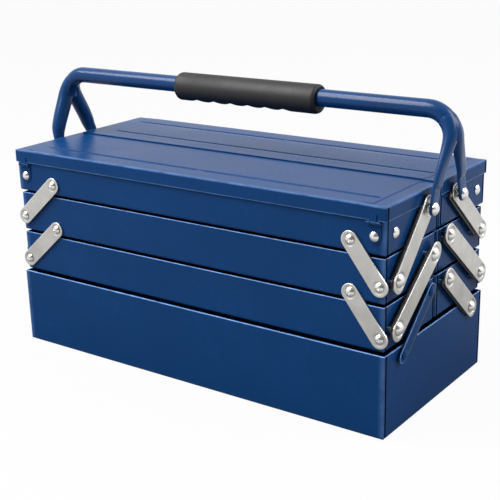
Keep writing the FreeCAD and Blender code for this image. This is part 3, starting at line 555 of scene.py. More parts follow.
@dataclass(frozen=True)
class PlatedSteel:
    """Bright or satin plated steel with a mottled grain."""

    name: str
    colour: Point
    roughness: float
    mottle: float
    texture_depth: float
    fine_scale: float = 1500.0

    def build(self, effects: Effects) -> bpy.types.Material:
        """Make the material.

        Args:
            effects: The shared groups.

        Returns:
            The material.
        """
        material, tree, shader, position = start_material(self.name)
        grain = group_node(tree, effects.grain, {"Position": position, "Fine scale": self.fine_scale,
                                                 "Wave scale": 55.0, "Wave share": 1.5})
        handled = group_node(tree, effects.handling, {"Position": position, "Smudge scale": 38.0,
                                                      "Speckle scale": 420.0})
        edges = group_node(tree, effects.rubbed_edges, {"Position": position, "Amount": 1.0})
        clouded = tree.mix(handled.outputs["Smudge"], scaled_colour(self.colour, 1.0 - self.mottle),
                           scaled_colour(self.colour, 1.0 + 0.5 * self.mottle))
        spotted = tree.mix(tree.math("MULTIPLY", handled.outputs["Speckle"], self.mottle * 2), clouded,
                           scaled_colour(self.colour, 0.45))
        # Edges and rims of the bars are made paler: a painted highlight.
        bright = tree.mix(edges.outputs["Mask"], spotted, scaled_colour(self.colour, 1.35))
        links = tree.tree.links
        links.new(bright, shader.inputs["Base Color"])
        rough = tree.math("MULTIPLY_ADD", handled.outputs["Smudge"], self.mottle * 0.6, self.roughness)
        links.new(rough, shader.inputs["Roughness"])
        shader.inputs["Metallic"].default_value = 1.0
        bump = tree.add("ShaderNodeBump", {"Height": grain.outputs["Height"], "Strength": 0.4,
                                           "Distance": self.texture_depth})
        links.new(bump.outputs["Normal"], shader.inputs["Normal"])
        return material


@dataclass(frozen=True)
class Foam:
    """Matt moulded foam with fine pores."""

    name: str = "grip_foam"
    colour: Point = (0.009, 0.009, 0.010)
    roughness: float = 0.5

    def build(self, effects: Effects) -> bpy.types.Material:
        """Make the material.

        Args:
            effects: The shared groups.

        Returns:
            The material.
        """
        material, tree, shader, position = start_material(self.name)
        grain = group_node(tree, effects.grain, {"Position": position, "Fine scale": 1300.0, "Wave scale": 90.0,
                                                 "Wave share": 0.6})
        handled = group_node(tree, effects.handling, {"Position": position, "Smudge scale": 22.0})
        colour = tree.mix(grain.outputs["Fine"], scaled_colour(self.colour, 0.7), scaled_colour(self.colour, 1.4))
        links = tree.tree.links
        links.new(colour, shader.inputs["Base Color"])
        rough = tree.math("MULTIPLY_ADD", handled.outputs["Smudge"], 0.12, self.roughness)
        links.new(rough, shader.inputs["Roughness"])
        shader.inputs["Specular IOR Level"].default_value = 0.3
        bump = tree.add("ShaderNodeBump", {"Height": grain.outputs["Height"], "Strength": 0.6, "Distance": 0.00025})
        links.new(bump.outputs["Normal"], shader.inputs["Normal"])
        return material


class Finishes:
    """The finishes of the tool box."""

    def __init__(self) -> None:
        effects = Effects()
        self.paint = PowderCoat().build(effects)
        self.tube_paint = PowderCoat("blue_paint_tube", roughness=0.17, specular=0.2, texture_depth=0.00003,
                                     wave_share=1.0).build(effects)
        # The links are near black so that the strip of them seen beside each arm reads as the arm's shadow: painted
        # shade.
        self.link = PowderCoat("link_steel", (0.012, 0.012, 0.014), (0.12, 0.12, 0.12), roughness=0.4,
                               specular=0.3).build(effects)
        self.bar = PlatedSteel("bar_steel", (0.60, 0.59, 0.565), 0.36, 0.14, 0.00005).build(effects)
        self.rivet = PlatedSteel("rivet_steel", (0.80, 0.795, 0.78), 0.2, 0.05, 0.00002, 700.0).build(effects)
        self.foam = Foam().build(effects)


# Geometry node trees

class PieceTrees:
    """Geometry node trees for the pieces that repeat or follow a path."""

    def __init__(self) -> None:
        self.scatter = self.build_scatter()
        self.tube = self.build_tube()

    def build_scatter(self) -> bpy.types.NodeTree:
        """A piece set on every point, turned by the point's own attribute."""
        inputs = {"Geometry": (GEOMETRY, None), "Piece": ("NodeSocketObject", None), "Scale": (FLOAT, 1.0),
                  "Finish": ("NodeSocketMaterial", None)}
        tree = new_group("Pieces on points", "GeometryNodeTree", inputs, {"Geometry": GEOMETRY})
        given = tree.add("NodeGroupInput").outputs
        source = tree.add("GeometryNodeObjectInfo", {"Object": given["Piece"]})
        turn = tree.add("GeometryNodeInputNamedAttribute", {"Name": "turn"}, data_type="FLOAT_VECTOR")
        placed = tree.add("GeometryNodeInstanceOnPoints", {
            "Points": given["Geometry"], "Instance": source.outputs["Geometry"],
            "Rotation": turn.outputs["Attribute"], "Scale": given["Scale"]})
        real = tree.add("GeometryNodeRealizeInstances", {"Geometry": placed.outputs["Instances"]})
        dressed = tree.add("GeometryNodeSetMaterial", {"Geometry": real.outputs["Geometry"],
                                                       "Material": given["Finish"]})
        tree.add("NodeGroupOutput", {"Geometry": dressed.outputs["Geometry"]})
        return tree.tree

    def build_tube(self) -> bpy.types.NodeTree:
        """A round tube along a curve, closed at both ends."""
        inputs = {"Geometry": (GEOMETRY, None), "Radius": (FLOAT, 0.01), "Sides": ("NodeSocketInt", 40),
                  "Finish": ("NodeSocketMaterial", None)}
        tree = new_group("Tube along a curve", "GeometryNodeTree", inputs, {"Geometry": GEOMETRY})
        given = tree.add("NodeGroupInput").outputs
        circle = tree.add("GeometryNodeCurvePrimitiveCircle", {"Resolution": given["Sides"],
                                                               "Radius": given["Radius"]})
        tube = tree.add("GeometryNodeCurveToMesh", {"Curve": given["Geometry"],
                                                    "Profile Curve": circle.outputs["Curve"], "Fill Caps": True})
        real = tree.add("GeometryNodeRealizeInstances", {"Geometry": tube.outputs["Mesh"]})
        dressed = tree.add("GeometryNodeSetMaterial", {"Geometry": real.outputs["Geometry"],
                                                       "Material": given["Finish"]})
        tree.add("NodeGroupOutput", {"Geometry": dressed.outputs["Geometry"]})
        return tree.tree


def grown_mesh(source: bpy.types.Object, group: bpy.types.NodeTree, values: dict[str, object]) -> bpy.types.Mesh:
    """Run a geometry node tree on an object and keep the result as a plain mesh.

    Args:
        source: The object the tree starts from; it is removed afterwards.
        group: The tree.
        values: Its inputs by name.

    Returns:
        The resulting mesh.
    """
    modifier = source.modifiers.new("grow", "NODES")
    modifier.node_group = group
    sockets = {item.name: item.identifier for item in group.interface.items_tree if item.in_out == "INPUT"}
    for word, value in values.items():
        modifier[sockets[word]] = value
    bpy.context.view_layer.update()
    graph = bpy.context.evaluated_depsgraph_get()
    mesh = bpy.data.meshes.new_from_object(source.evaluated_get(graph))
    bpy.data.objects.remove(source)
    return mesh


def joined_mesh(name: str, meshes: Sequence[bpy.types.Mesh]) -> bpy.types.Mesh:
    """Put several meshes into one.

    Args:
        name: Name of the new mesh.
        meshes: The meshes to join, which are removed.

    Returns:
        The new mesh.
    """
    work = bmesh.new()
    for mesh in meshes:
        work.from_mesh(mesh)
    joined = bpy.data.meshes.new(name)
    work.to_mesh(joined)
    work.free()
    for mesh in meshes:
        bpy.data.meshes.remove(mesh)
    tidy_mesh(joined)
    return joined


class Assembly:
    """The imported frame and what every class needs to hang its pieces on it."""

    def __init__(self, frame: dict) -> None:
        self.nodes: dict[str, bpy.types.Object] = frame["nodes"]
        self.finishes = Finishes()
        self.trees = PieceTrees()
        self.slots = {part["node"]: part["material_slot"] for part in frame["record"]["subparts"]}

    def stand_for(self, piece: bpy.types.Object, node: str) -> None:
        """Let a piece ride on a node's body in the node's place.

        Args:
            piece: The finished piece.
            node: The CAD node it replaces.
        """
        self.hang(piece, node, self.slots[node])
        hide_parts(node)
        LOG.info("%s stands for %s", piece.name, node)

    def hang(self, piece: bpy.types.Object, node: str, slot: str) -> None:
        """Let a piece ride on a node's body.

        Args:
            piece: The finished piece.
            node: A CAD node on the body.
            slot: The record's slot for the piece; not used.
        """
        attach(piece, body_of(self.nodes[node])[0])

    def dress(self, node: str, material: bpy.types.Material) -> None:
        """Give a CAD node that stays its finish.

        Args:
            node: The CAD node.
            material: Its finish.
        """
        shown = self.nodes[node]
        if not shown.material_slots:
            shown.data.materials.append(material)
        for slot in shown.material_slots:
            slot.material = material
        LOG.info("%s keeps its shape", node)


# Pans

@dataclass
class Pan:
    """An open sheet-metal pan with a folded rim: the base box or a tray."""

    name: str
    half_length: float
    near: float
    far: float
    low: float
    rim: float
    sheet: float = 0.8
    corner: float = 1.2
    floor_edge: float = 2.5
    hem_depth: float = 4.5
    seam_start: float = 0.4
    seam_width: float = 3.2
    seam_depth: float = 1.4
    bow: float = 0.35
    phase: float = 0.0
    long_stops: Sequence[float] = (0.012, 0.06, 0.14, 0.24, 0.36, 0.5, 0.64, 0.76, 0.86, 0.94, 0.988)
    short_stops: Sequence[float] = (0.03, 0.12, 0.3, 0.5, 0.7, 0.88, 0.97)

    def bowed(self, share: float, height: float, wave: float) -> float:
        """How far a wall is drawn in at a share of its length and a height."""
        upright = math.sin(math.pi * min(max((height - self.low) / (self.rim - self.low), 0.0), 1.0))
        ripple = 0.6 + 0.4 * math.sin(wave * share * math.pi + self.phase)
        return self.bow * math.sin(math.pi * share) ** 0.5 * upright * ripple

    def stops(self, start: Point, stop: Point, long_wall: bool) -> list[tuple[float, float]]:
        """Shares of a wall's length with how deep the corner seam is there.

        Args:
            start: Where the wall starts.
            stop: Where it ends.
            long_wall: Whether it is a long wall, which has no seams.

        Returns:
            Pairs of share and depth.
        """
        plain = [(share, 0.0) for share in (self.long_stops if long_wall else self.short_stops)]
        if long_wall:
            return plain
        length = abs(stop[1] - start[1])
        first = self.seam_start
        last = self.seam_start + self.seam_width
        edge = [(first / length, 0.0), ((first + 0.05) / length, self.seam_depth),
                ((last - 0.05) / length, self.seam_depth), (last / length, 0.0)]
        far_edge = [(1 - share, depth) for share, depth in reversed(edge)]
        return edge + plain + far_edge

    def loop(self, draft: Draft, inset: float, height: float, rub: float = 0.0, flat: bool = False,
             seam: float = 0.0) -> list[int]:
        """One loop of points round the pan.

        Args:
            draft: Where the points go.
            inset: Distance in from the outer face.
            height: Height of the loop.
            rub: How strong the painted highlight on the edge there is.
            flat: Whether the loop lies on the floor, where no wall bows.
            seam: Share of the corner seams' depth at this loop.

        Returns:
            The loop's point numbers.
        """
        radius = max(self.corner - inset, 0.5)
        x = self.half_length - inset
        points: list[Point] = []
        painted_lights: list[float] = []
        centres = ((x - radius, self.far - inset - radius), (-x + radius, self.far - inset - radius),
                   (-x + radius, self.near + inset + radius), (x - radius, self.near + inset + radius))
        inward = ((0, -1), (1, 0), (0, 1), (-1, 0))
        for index, (centre_x, centre_y) in enumerate(centres):
            arc = []
            for step in arc_steps(5):
                turn = index * math.pi / 2 + step
                arc.append((centre_x + radius * math.cos(turn), centre_y + radius * math.sin(turn), height))
            points.extend(arc)
            # The rounded corners get a faint painted highlight.
            painted_lights.extend([max(rub, 0.25 * seam)] * len(arc))
            after_x, after_y = centres[(index + 1) % 4]
            turn = (index + 1) * math.pi / 2
            start = arc[-1]
            stop = (after_x + radius * math.cos(turn), after_y + radius * math.sin(turn))
            for share, depth in self.stops(start, stop, index % 2 == 0):
                draw = depth * seam + (0.0 if flat else self.bowed(share, height, 2.0 + index))
                points.append((start[0] + (stop[0] - start[0]) * share + inward[index][0] * draw,
                               start[1] + (stop[1] - start[1]) * share + inward[index][1] * draw, height))
                # Points in a corner seam carry painted shade.
                painted_lights.append(-seam if depth > 0 and seam > 0 else rub)
        return draft.ring(points, painted_lights)

    def build(self, kit: Assembly) -> None:
        """Make the pan and let it stand for its node."""
        draft = Draft()
        fold = self.sheet
        inner_edge = self.floor_edge - self.sheet
        rings = [self.loop(draft, self.floor_edge, self.low, flat=True)]
        for step in arc_steps(4)[1:]:
            inset = self.floor_edge * (1 - math.sin(step))
            rings.append(self.loop(draft, inset, self.low + self.floor_edge * (1 - math.cos(step)),
                                   seam=math.sin(step) ** 2))
        wall_low = self.low + self.floor_edge + 0.7
        wall_high = self.rim - fold - 0.7
        for share in (0.0, 0.25, 0.5, 0.75, 1.0):
            rings.append(self.loop(draft, 0.0, wall_low + (wall_high - wall_low) * share, seam=1.0))
        for index in range(9):
            turn = math.pi * index / 8
            # The top of the folded rim carries a painted highlight.
            rub = 1.0 if 1 <= index <= 5 else 0.0
            rings.append(self.loop(draft, fold - fold * math.cos(turn), self.rim - fold + fold * math.sin(turn), rub,
                                   seam=max(0.0, 1 - index / 3)))
        rings.append(self.loop(draft, 2 * fold, self.rim - fold - 0.6))
        rings.append(self.loop(draft, 2 * fold, self.rim - self.hem_depth + 0.3))
        rings.append(self.loop(draft, 2 * fold - 0.3, self.rim - self.hem_depth))
        rings.append(self.loop(draft, self.sheet, self.rim - self.hem_depth, seam=1.0))
        for share in (0.98, 0.66, 0.33, 0.0):
            rings.append(self.loop(draft, self.sheet, wall_low + (wall_high - self.hem_depth - wall_low) * share,
                                   seam=1.0))
        for step in arc_steps(4):
            inset = self.sheet + inner_edge * (1 - math.cos(step))
            height = self.low + self.sheet + inner_edge * (1 - math.sin(step))
            rings.append(self.loop(draft, inset, height, flat=True))
        draft.loft(rings)
        draft.cap(rings[0])
        draft.cap(rings[-1])
        piece = draft.build(f"{self.name}_pan", kit.finishes.paint)
        kit.stand_for(piece, self.name)


# Lids

@dataclass
class Lid:
    """A pressed lid with skirts on three sides, a bead at the middle and long grooves."""

    side: Side
    half_length: float = 265.0
    near: float = 1.5
    far: float = 120.0
    top: float = 257.0
    skirt_low: float = 241.0
    sheet: float = 1.0
    edge: float = 1.25
    corner: float = 1.3
    strip: float = 7.0
    lip_width: float = 4.0
    lip_height: float = 1.35
    groove_depth: float = 1.4
    groove_half: float = 2.8
    crease_inset: float = 19.0
    crease_drop: float = 0.6
    slit_start: float = 1.7
    slit_width: float = 3.2
    hinge_x: float = 250.0
    hinge_out: float = 120.4
    hinge_up: float = 238.6
    grooves: Sequence[tuple[float, float, float]] = ((-224, 0, 91.5), (18.5, 237, 91.5))
    lip_start: float | None = None

    def pressed(self, x: float, out: float) -> float:
        """Height of the pressing above or below the flat top."""
        drop = 0.0
        for start, stop, row in self.grooves:
            beyond = max(start - x, x - stop, 0.0)
            gap = math.hypot(beyond * 0.45, out - row)
            drop = max(drop, self.groove_depth * (1 - smooth_step(0.3, self.groove_half, gap)))
        end = self.half_length - self.crease_inset
        drop += self.crease_drop * smooth_step(end - 1.2, end + 1.2, abs(x))
        if self.lip_start is None:
            return -drop
        return self.lip_height * (1 - smooth_step(self.lip_width - 0.7, self.lip_width + 1.1, out)) - drop

    def place(self, x: float, out: float, height: float) -> Point:
        """A point on the lid's own side."""
        return (x, self.side.sign * out, height)

    def plate(self, draft: Draft) -> None:
        """Add the pressed top as a closed sheet."""
        end = self.half_length - self.crease_inset
        spots_x = [(-end, 3.2), (end, 3.2)]
        for start, stop, _ in self.grooves:
            spots_x += [(start, 3.4), (stop, 3.4)]
        rows = sorted({row for _, _, row in self.grooves})
        spots_out = [(self.lip_width, 2.4)] + [(row, 3.2) for row in rows]
        first = self.near if self.lip_start is None else self.lip_start
        xs = lines_with_detail(-self.half_length + self.strip, self.half_length - self.strip, 9.0, 0.6, spots_x)
        outs = lines_with_detail(first, self.far - self.strip, 8.0, 0.42, spots_out)
        upper = [draft.ring(self.place(x, out, self.top + self.pressed(x, out)) for out in outs) for x in xs]
        lower = [draft.ring(self.place(x, out, self.top - self.sheet + self.pressed(x, out)) for out in outs)
                 for x in xs]
        draft.loft(upper, closed=False)
        draft.loft(lower, closed=False)
        for first, second in ((upper[0], lower[0]), (upper[-1], lower[-1])):
            draft.bridge(first, second, closed=False)
        for column in (0, -1):
            draft.bridge([row[column] for row in upper], [row[column] for row in lower], closed=False)

    def outline(self, inset: float) -> list[tuple[float, float, float]]:
        """Places round the three skirts: x, distance out and share of the way into the corner slit."""
        radius = max(self.corner - inset, 0.0)
        x = self.half_length - inset
        out = self.far - inset
        near = self.near
        places = [(x, near, 0.0), (x, near + 4.0, 0.0)]
        places += [(x, step, 0.0) for step in spaced(near + 12, self.far - 8, 20.0)]
        slit = self.far - self.slit_start
        for offset, depth in ((self.slit_width, 0.0), (self.slit_width - 0.1, 1.0), (0.1, 1.0), (0.0, 0.0)):
            places.append((x, min(slit - offset, out - radius), depth))
        places += [(x - radius + radius * math.cos(turn), out - radius + radius * math.sin(turn), 0.0)
                   for turn in arc_steps(4)]
        half = [(px, po, depth) for px, po, depth in places]
        middle = [(step, out, 0.0) for step in spaced(self.half_length - 12, -self.half_length + 12, 22.0)]
        mirrored = [(-px, po, depth) for px, po, depth in reversed(half)]
        return half + middle + mirrored

    def skirts(self, draft: Draft) -> None:
        """Add the rounded edge and the skirts, swept round the three sides."""
        # Each row gives inset, height and painted highlight: strongest on the rounded top edge and the skirt's lower
        # hem.
        section: list[tuple[float, float, float]] = [(self.strip, self.top, 0.0), (self.edge + 0.8, self.top, 0.1)]
        for step in arc_steps(5):
            section.append((self.edge * (1 - math.sin(step)), self.top - self.edge * (1 - math.cos(step)), 0.3))
        section.append((0.0, self.top - self.edge - 0.8, 0.0))
        section.append((0.0, self.skirt_low + 1.2, 0.0))
        for index in range(5):
            turn = math.pi * index / 4
            half = self.sheet / 2
            section.append((half - half * math.cos(turn), self.skirt_low + half - half * math.sin(turn), 0.55))
        section.append((self.sheet, self.top - self.edge - 0.8, 0.0))
        for step in arc_steps(3):
            inner = self.edge - self.sheet * 0.6
            section.append((self.sheet + inner * math.sin(step),
                            self.top - self.sheet - inner + inner * math.sin(step), 0.0))
        section.append((self.strip, self.top - self.sheet, 0.0))
        loops = []
        for inset, height, rub in section:
            ring = []
            painted_lights = []
            below = smooth_step(0.0, 1.0, self.top - self.edge * 0.5 - height)
            for x, out, slit in self.outline(inset):
                # Points inside a corner slit carry painted shade.
                sunk = slit * below if inset < self.sheet * 0.6 else 0.0
                drop = self.pressed(x, max(out, self.near + 12)) if height > self.skirt_low + 6 else 0.0
                ring.append(self.place(x - math.copysign(0.75 * sunk, x), out, height + drop))
                painted_lights.append(-sunk if sunk > 0 else rub)
            loops.append(draft.ring(ring, painted_lights))
        loops.append(loops[0])
        draft.loft(loops, closed=False)
        draft.cap([loop[0] for loop in loops[:-1]])
        draft.cap([loop[-1] for loop in loops[:-1]])

    def knuckles(self, draft: Draft) -> None:
        """Add the middle knuckle and its short leaf at each hinge."""
        profile = [(0.0, -3.5), (1.9, -3.5), (2.2, -3.2), (2.2, 3.2), (1.9, 3.5), (0.0, 3.5)]
        barrel = turned_profile(profile, 24)
        leaf = Draft()
        section = [(-0.1, -0.6), (1.0, -0.6), (1.0, 8.6), (0.7, 9.4), (-0.1, 9.4)]
        rings = [leaf.ring((across, out, up) for out, up in section) for across in (-3.5, -3.2, 3.2, 3.5)]
        leaf.loft(rings)
        leaf.cap(rings[0])
        leaf.cap(rings[-1])
        for end in End:
            x = end.sign * self.hinge_x
            along = Matrix.Rotation(math.pi / 2, 4, "Y")
            draft.add(barrel, Matrix.Translation((x, self.side.sign * self.hinge_out, self.hinge_up)) @ along)
            flip = Matrix.Diagonal((1, self.side.sign, 1, 1))
            draft.add(leaf, Matrix.Translation((x, self.side.sign * self.far, self.hinge_up)) @ flip)

    def build(self, kit: Assembly) -> None:
        """Make the lid and let it stand for its node."""
        draft = Draft()
        self.plate(draft)
        self.skirts(draft)
        self.knuckles(draft)
        node = f"{self.side.word}_lid"
        piece = draft.build(f"{node}_pressing", kit.finishes.paint)
        kit.stand_for(piece, node)


# Arms and latch bars

@dataclass
class StampedBar:
    """A flat bar with round ends, a broken rim and a dish round each rivet."""

    length: float
    width: float
    sheet: float = 2.0
    overrun: float = 3.0
    rim: float = 0.55
    dish_radius: float = 9.7
    dish_edge: float = 1.3
    dish_depth: float = 0.9

    def top(self, along: float, edge: float, across: float) -> float:
        """Height of the front face at a place on the bar."""
        short = max(self.rim - edge, 0.0)
        height = self.sheet - (self.rim - math.sqrt(max(self.rim ** 2 - short ** 2, 0.0)))
        for pivot in (0.0, self.length):
            gap = math.hypot(along - pivot, across)
            height -= self.dish_depth * (1 - smooth_step(self.dish_radius - self.dish_edge, self.dish_radius, gap))
        return height

    def draft(self) -> Draft:
        """The bar along X from its first pivot, with its back on the plane Z = 0."""
        half = self.width / 2
        steps = [0.0] + spaced(0.9, half - 1.3, 0.9) + [half - 0.9, half - self.rim, half - 0.3, half - 0.1, half]
        start = -self.overrun
        stop = self.length + self.overrun
        reach = self.dish_radius + 1.0
        alongs = lines_with_detail(start, stop, 8.0, 0.7, [(0.0, reach), (self.length, reach)])
        draft = Draft()
        for front in (True, False):
            rows = []
            for row in [-step for step in reversed(steps[1:])] + steps:
                edge = half - abs(row)
                # The rounded rim of the front face carries a painted highlight.
                rub = 1.0 if front and edge < self.rim + 0.1 else 0.0
                rows.append(draft.ring([(along, row, self.top(along, edge, row) if front else 0.0)
                                        for along in alongs], rub))
            draft.loft(rows, closed=False)
            for centre, sign in ((start, -1), (stop, 1)):
                rings = []
                for radius in steps:
                    edge = half - radius
                    ring = []
                    for index in range(25):
                        turn = math.pi * index / 24 - math.pi / 2
                        along = centre + sign * radius * math.cos(turn)
                        across = radius * math.sin(turn)
                        ring.append((along, across, self.top(along, edge, across) if front else 0.0))
                    rub = 1.0 if front and edge < self.rim + 0.1 else 0.0
                    rings.append(draft.ring(ring if radius > 0 else ring[:1], rub))
                draft.loft(rings, closed=False)
        self.close_rim(draft, half, alongs)
        return draft

    def close_rim(self, draft: Draft, half: float, alongs: Sequence[float]) -> None:
        """Add the wall between the front and the back face."""
        outline = [(along, half) for along in alongs]
        stop = self.length + self.overrun
        for index in range(1, 25):
            turn = math.pi / 2 - math.pi * index / 24
            outline.append((stop + half * math.cos(turn), half * math.sin(turn)))
        outline += [(along, -half) for along in reversed(alongs[:-1])]
        for index in range(1, 24):
            turn = -math.pi / 2 - math.pi * index / 24
            outline.append((-self.overrun + half * math.cos(turn), half * math.sin(turn)))
        # The wall's front edge carries a painted highlight.
        high = draft.ring(((along, across, self.top(along, 0.0, across)) for along, across in outline), 0.6)
        middle = draft.ring((along, across, 0.9) for along, across in outline)
        low = draft.ring((along, across, 0.0) for along, across in outline)
        draft.loft([high, middle, low])


@dataclass
class Tier:
    """Pivots of the arms under one tray, as distance out and height, and the angle the arms swing past upright."""

    side: Side
    level: Level
    low: tuple[float, float]
    high: tuple[float, float]
    lean: float
    link_outside: bool
    width: float = 23.0
    arm_plane: float = 267.3
    link_spacing: float = 8.5

    def __post_init__(self) -> None:
        """Find the link's pivots, which lie as far from the arm's at rest as when the tray is out."""
        rest = math.atan2(self.low[0] - self.high[0], self.high[1] - self.low[1])
        lean = math.radians(self.lean)
        shift = self.link_spacing / math.sin(rest + lean) * (1 if self.link_outside else -1)
        across = shift * (math.sin(rest) + math.sin(lean))
        up = shift * (math.cos(lean) - math.cos(rest))
        self.link_low = (self.low[0] + across, self.low[1] + up)
        self.link_high = (self.high[0] + across, self.high[1] + up)

    @property
    def plain(self) -> bool:
        """Whether the arms are the narrow painted ones."""
        return self.width < 18

    def build(self, kit: Assembly) -> None:
        """Make the arms at both ends, and dress the links."""
        run = self.side.sign * (self.high[0] - self.low[0])
        rise = self.high[1] - self.low[1]
        bar = StampedBar(math.hypot(run, rise), self.width)
        if self.plain:
            bar.dish_depth = 0.0
        shape = bar.draft()
        along = Vector((0, run, rise)).normalized()
        for end in End:
            outward = Vector((end.sign, 0, 0))
            across = outward.cross(along)
            turn = Matrix((along, across, outward)).transposed().to_4x4()
            place = Vector((end.sign * self.arm_plane, self.side.sign * self.low[0], self.low[1]))
            draft = Draft()
            draft.add(shape, Matrix.Translation(place) @ turn)
            node = f"{self.side.word}_{self.level.value}_arm_{end.word}"
            finish = kit.finishes.paint if self.plain else kit.finishes.bar
            kit.stand_for(draft.build(f"{node}_bar", finish), node)
            kit.dress(f"{self.side.word}_{self.level.value}_link_{end.word}", kit.finishes.link)


@dataclass(frozen=True)
class Slant:
    """Where the latch bars of one end start, and how far they run outwards and down."""

    rivet_x: float
    run: float
    drop: float = 46.0


SLANTS = {End.RIGHT: Slant(222.0, 35.0), End.LEFT: Slant(204.0, 52.5)}
BAR_HEIGHTS = {Level.MIDDLE: 159.0, Level.UPPER: 216.5}


@dataclass
class LatchBars:
    """The short spring bars on one long face of one tray."""

    side: Side
    level: Level
    face: float
    stand_off: float = 0.5
    width: float = 20.0

    def build(self, kit: Assembly) -> None:
        """Make the bar at each end."""
        for end, slant in SLANTS.items():
            bar = StampedBar(math.hypot(slant.run, slant.drop), self.width, overrun=0.0, dish_radius=7.4,
                             dish_depth=0.7)
            outward = Vector((0, self.side.sign, 0))
            along = Vector((end.sign * slant.run, 0, -slant.drop)).normalized()
            across = outward.cross(along)
            turn = Matrix((along, across, outward)).transposed().to_4x4()
            place = Vector((end.sign * slant.rivet_x, self.side.sign * (self.face + self.stand_off),
                            BAR_HEIGHTS[self.level]))
            draft = Draft()
            draft.add(bar.draft(), Matrix.Translation(place) @ turn)
            node = f"{self.side.word}_{self.level.value}_bar_{end.word}"
            kit.stand_for(draft.build(f"{node}_plate", kit.finishes.bar), node)


# Rivets

@dataclass(frozen=True)
class Rivet:
    """A turned rivet, measured outwards from the middle of the box."""

    steps: tuple[tuple[float, float, float], ...]
    dome_base: float = 0.0
    dome_radius: float = 0.0
    dome_height: float = 0.0
    lip: float = 0.6
    dimple: float = 0.0
    painted: bool = False

    def profile(self) -> Profile:
        """Radius and distance of the rivet's outline, from pole to pole."""
        rows: Profile = [(0.0, self.steps[0][0])]
        for start, stop, radius in self.steps:
            rows += [(radius, start), (radius, stop)]
        if not self.dome_radius:
            return rows + [(0.0, self.steps[-1][1])]
        rows += [(self.dome_radius - 0.25, self.dome_base), (self.dome_radius, self.dome_base + 0.2),
                 (self.dome_radius, self.dome_base + self.lip)]
        rise = self.dome_height - self.lip
        ball = (self.dome_radius ** 2 + rise ** 2) / (2 * rise)
        widest = math.asin(min(self.dome_radius / ball, 1.0))
        for index in range(1, 11):
            turn = widest * (1 - index / 11)
            radius = ball * math.sin(turn)
            height = self.dome_base + self.dome_height - ball * (1 - math.cos(turn))
            if radius > self.dimple:
                rows.append((radius, height))
        if not self.dimple:
            return rows + [(0.0, self.dome_base + self.dome_height)]
        brim = rows[-1][1]
        return rows + [(self.dimple, brim + 0.1), (self.dimple * 0.8, brim - 0.9), (0.0, brim - 1.0)]


class Rivets:
    """All rivets that one body carries, as one bright piece and, where some are painted, one painted piece."""

    turns = {("x", 1): (0, math.pi / 2, 0), ("x", -1): (0, -math.pi / 2, 0),
             ("y", 1): (-math.pi / 2, 0, 0), ("y", -1): (math.pi / 2, 0, 0)}

    def __init__(self, node: str) -> None:
        self.node = node
        self.rows: dict[Rivet, list[tuple[Point, Point]]] = {}

    def add(self, rivet: Rivet, axis: str, sign: int, across: float, up: float) -> None:
        """Set one rivet.

        Args:
            rivet: Its shape.
            axis: The axis it lies along.
            sign: Its direction along that axis.
            across: Its place along the other level axis.
            up: Its height.
        """
        place = (0.0, across, up) if axis == "x" else (across, 0.0, up)
        self.rows.setdefault(rivet, []).append((place, self.turns[(axis, sign)]))

    def build(self, kit: Assembly) -> None:
        """Make the pieces and let them stand for their node."""
        self.piece(kit, f"{self.node}_domed", False, kit.finishes.rivet)
        if any(rivet.painted for rivet in self.rows):
            self.piece(kit, f"{self.node}_painted", True, kit.finishes.paint)

    def piece(self, kit: Assembly, name: str, painted: bool, finish: bpy.types.Material) -> None:
        """Make one piece of all the bright or all the painted rivets.

        Args:
            kit: Where the piece is hung.
            name: Name of the piece.
            painted: Whether it is of the painted ones.
            finish: Its finish.
        """
        meshes = []
        for rivet, places in self.rows.items():
            if rivet.painted is not painted:
                continue
            shape = turned_profile(rivet.profile(), 40).build("rivet_pattern", finish)
            points = bpy.data.meshes.new("rivet_places")
            points.from_pydata([tuple(MM * value for value in place) for place, _ in places], [], [])
            attribute = points.attributes.new("turn", "FLOAT_VECTOR", "POINT")
            attribute.data.foreach_set("vector", [value for _, turn in places for value in turn])
            source = dressed_object("rivet_places", points, finish)
            meshes.append(grown_mesh(source, kit.trees.scatter, {"Piece": shape, "Scale": 1.0, "Finish": finish}))
            bpy.data.objects.remove(shape)
        done = dressed_object(name, joined_mesh(name, meshes), finish)
        if painted:
            kit.hang(done, self.node, "blue_paint")
        else:
            kit.stand_for(done, self.node)


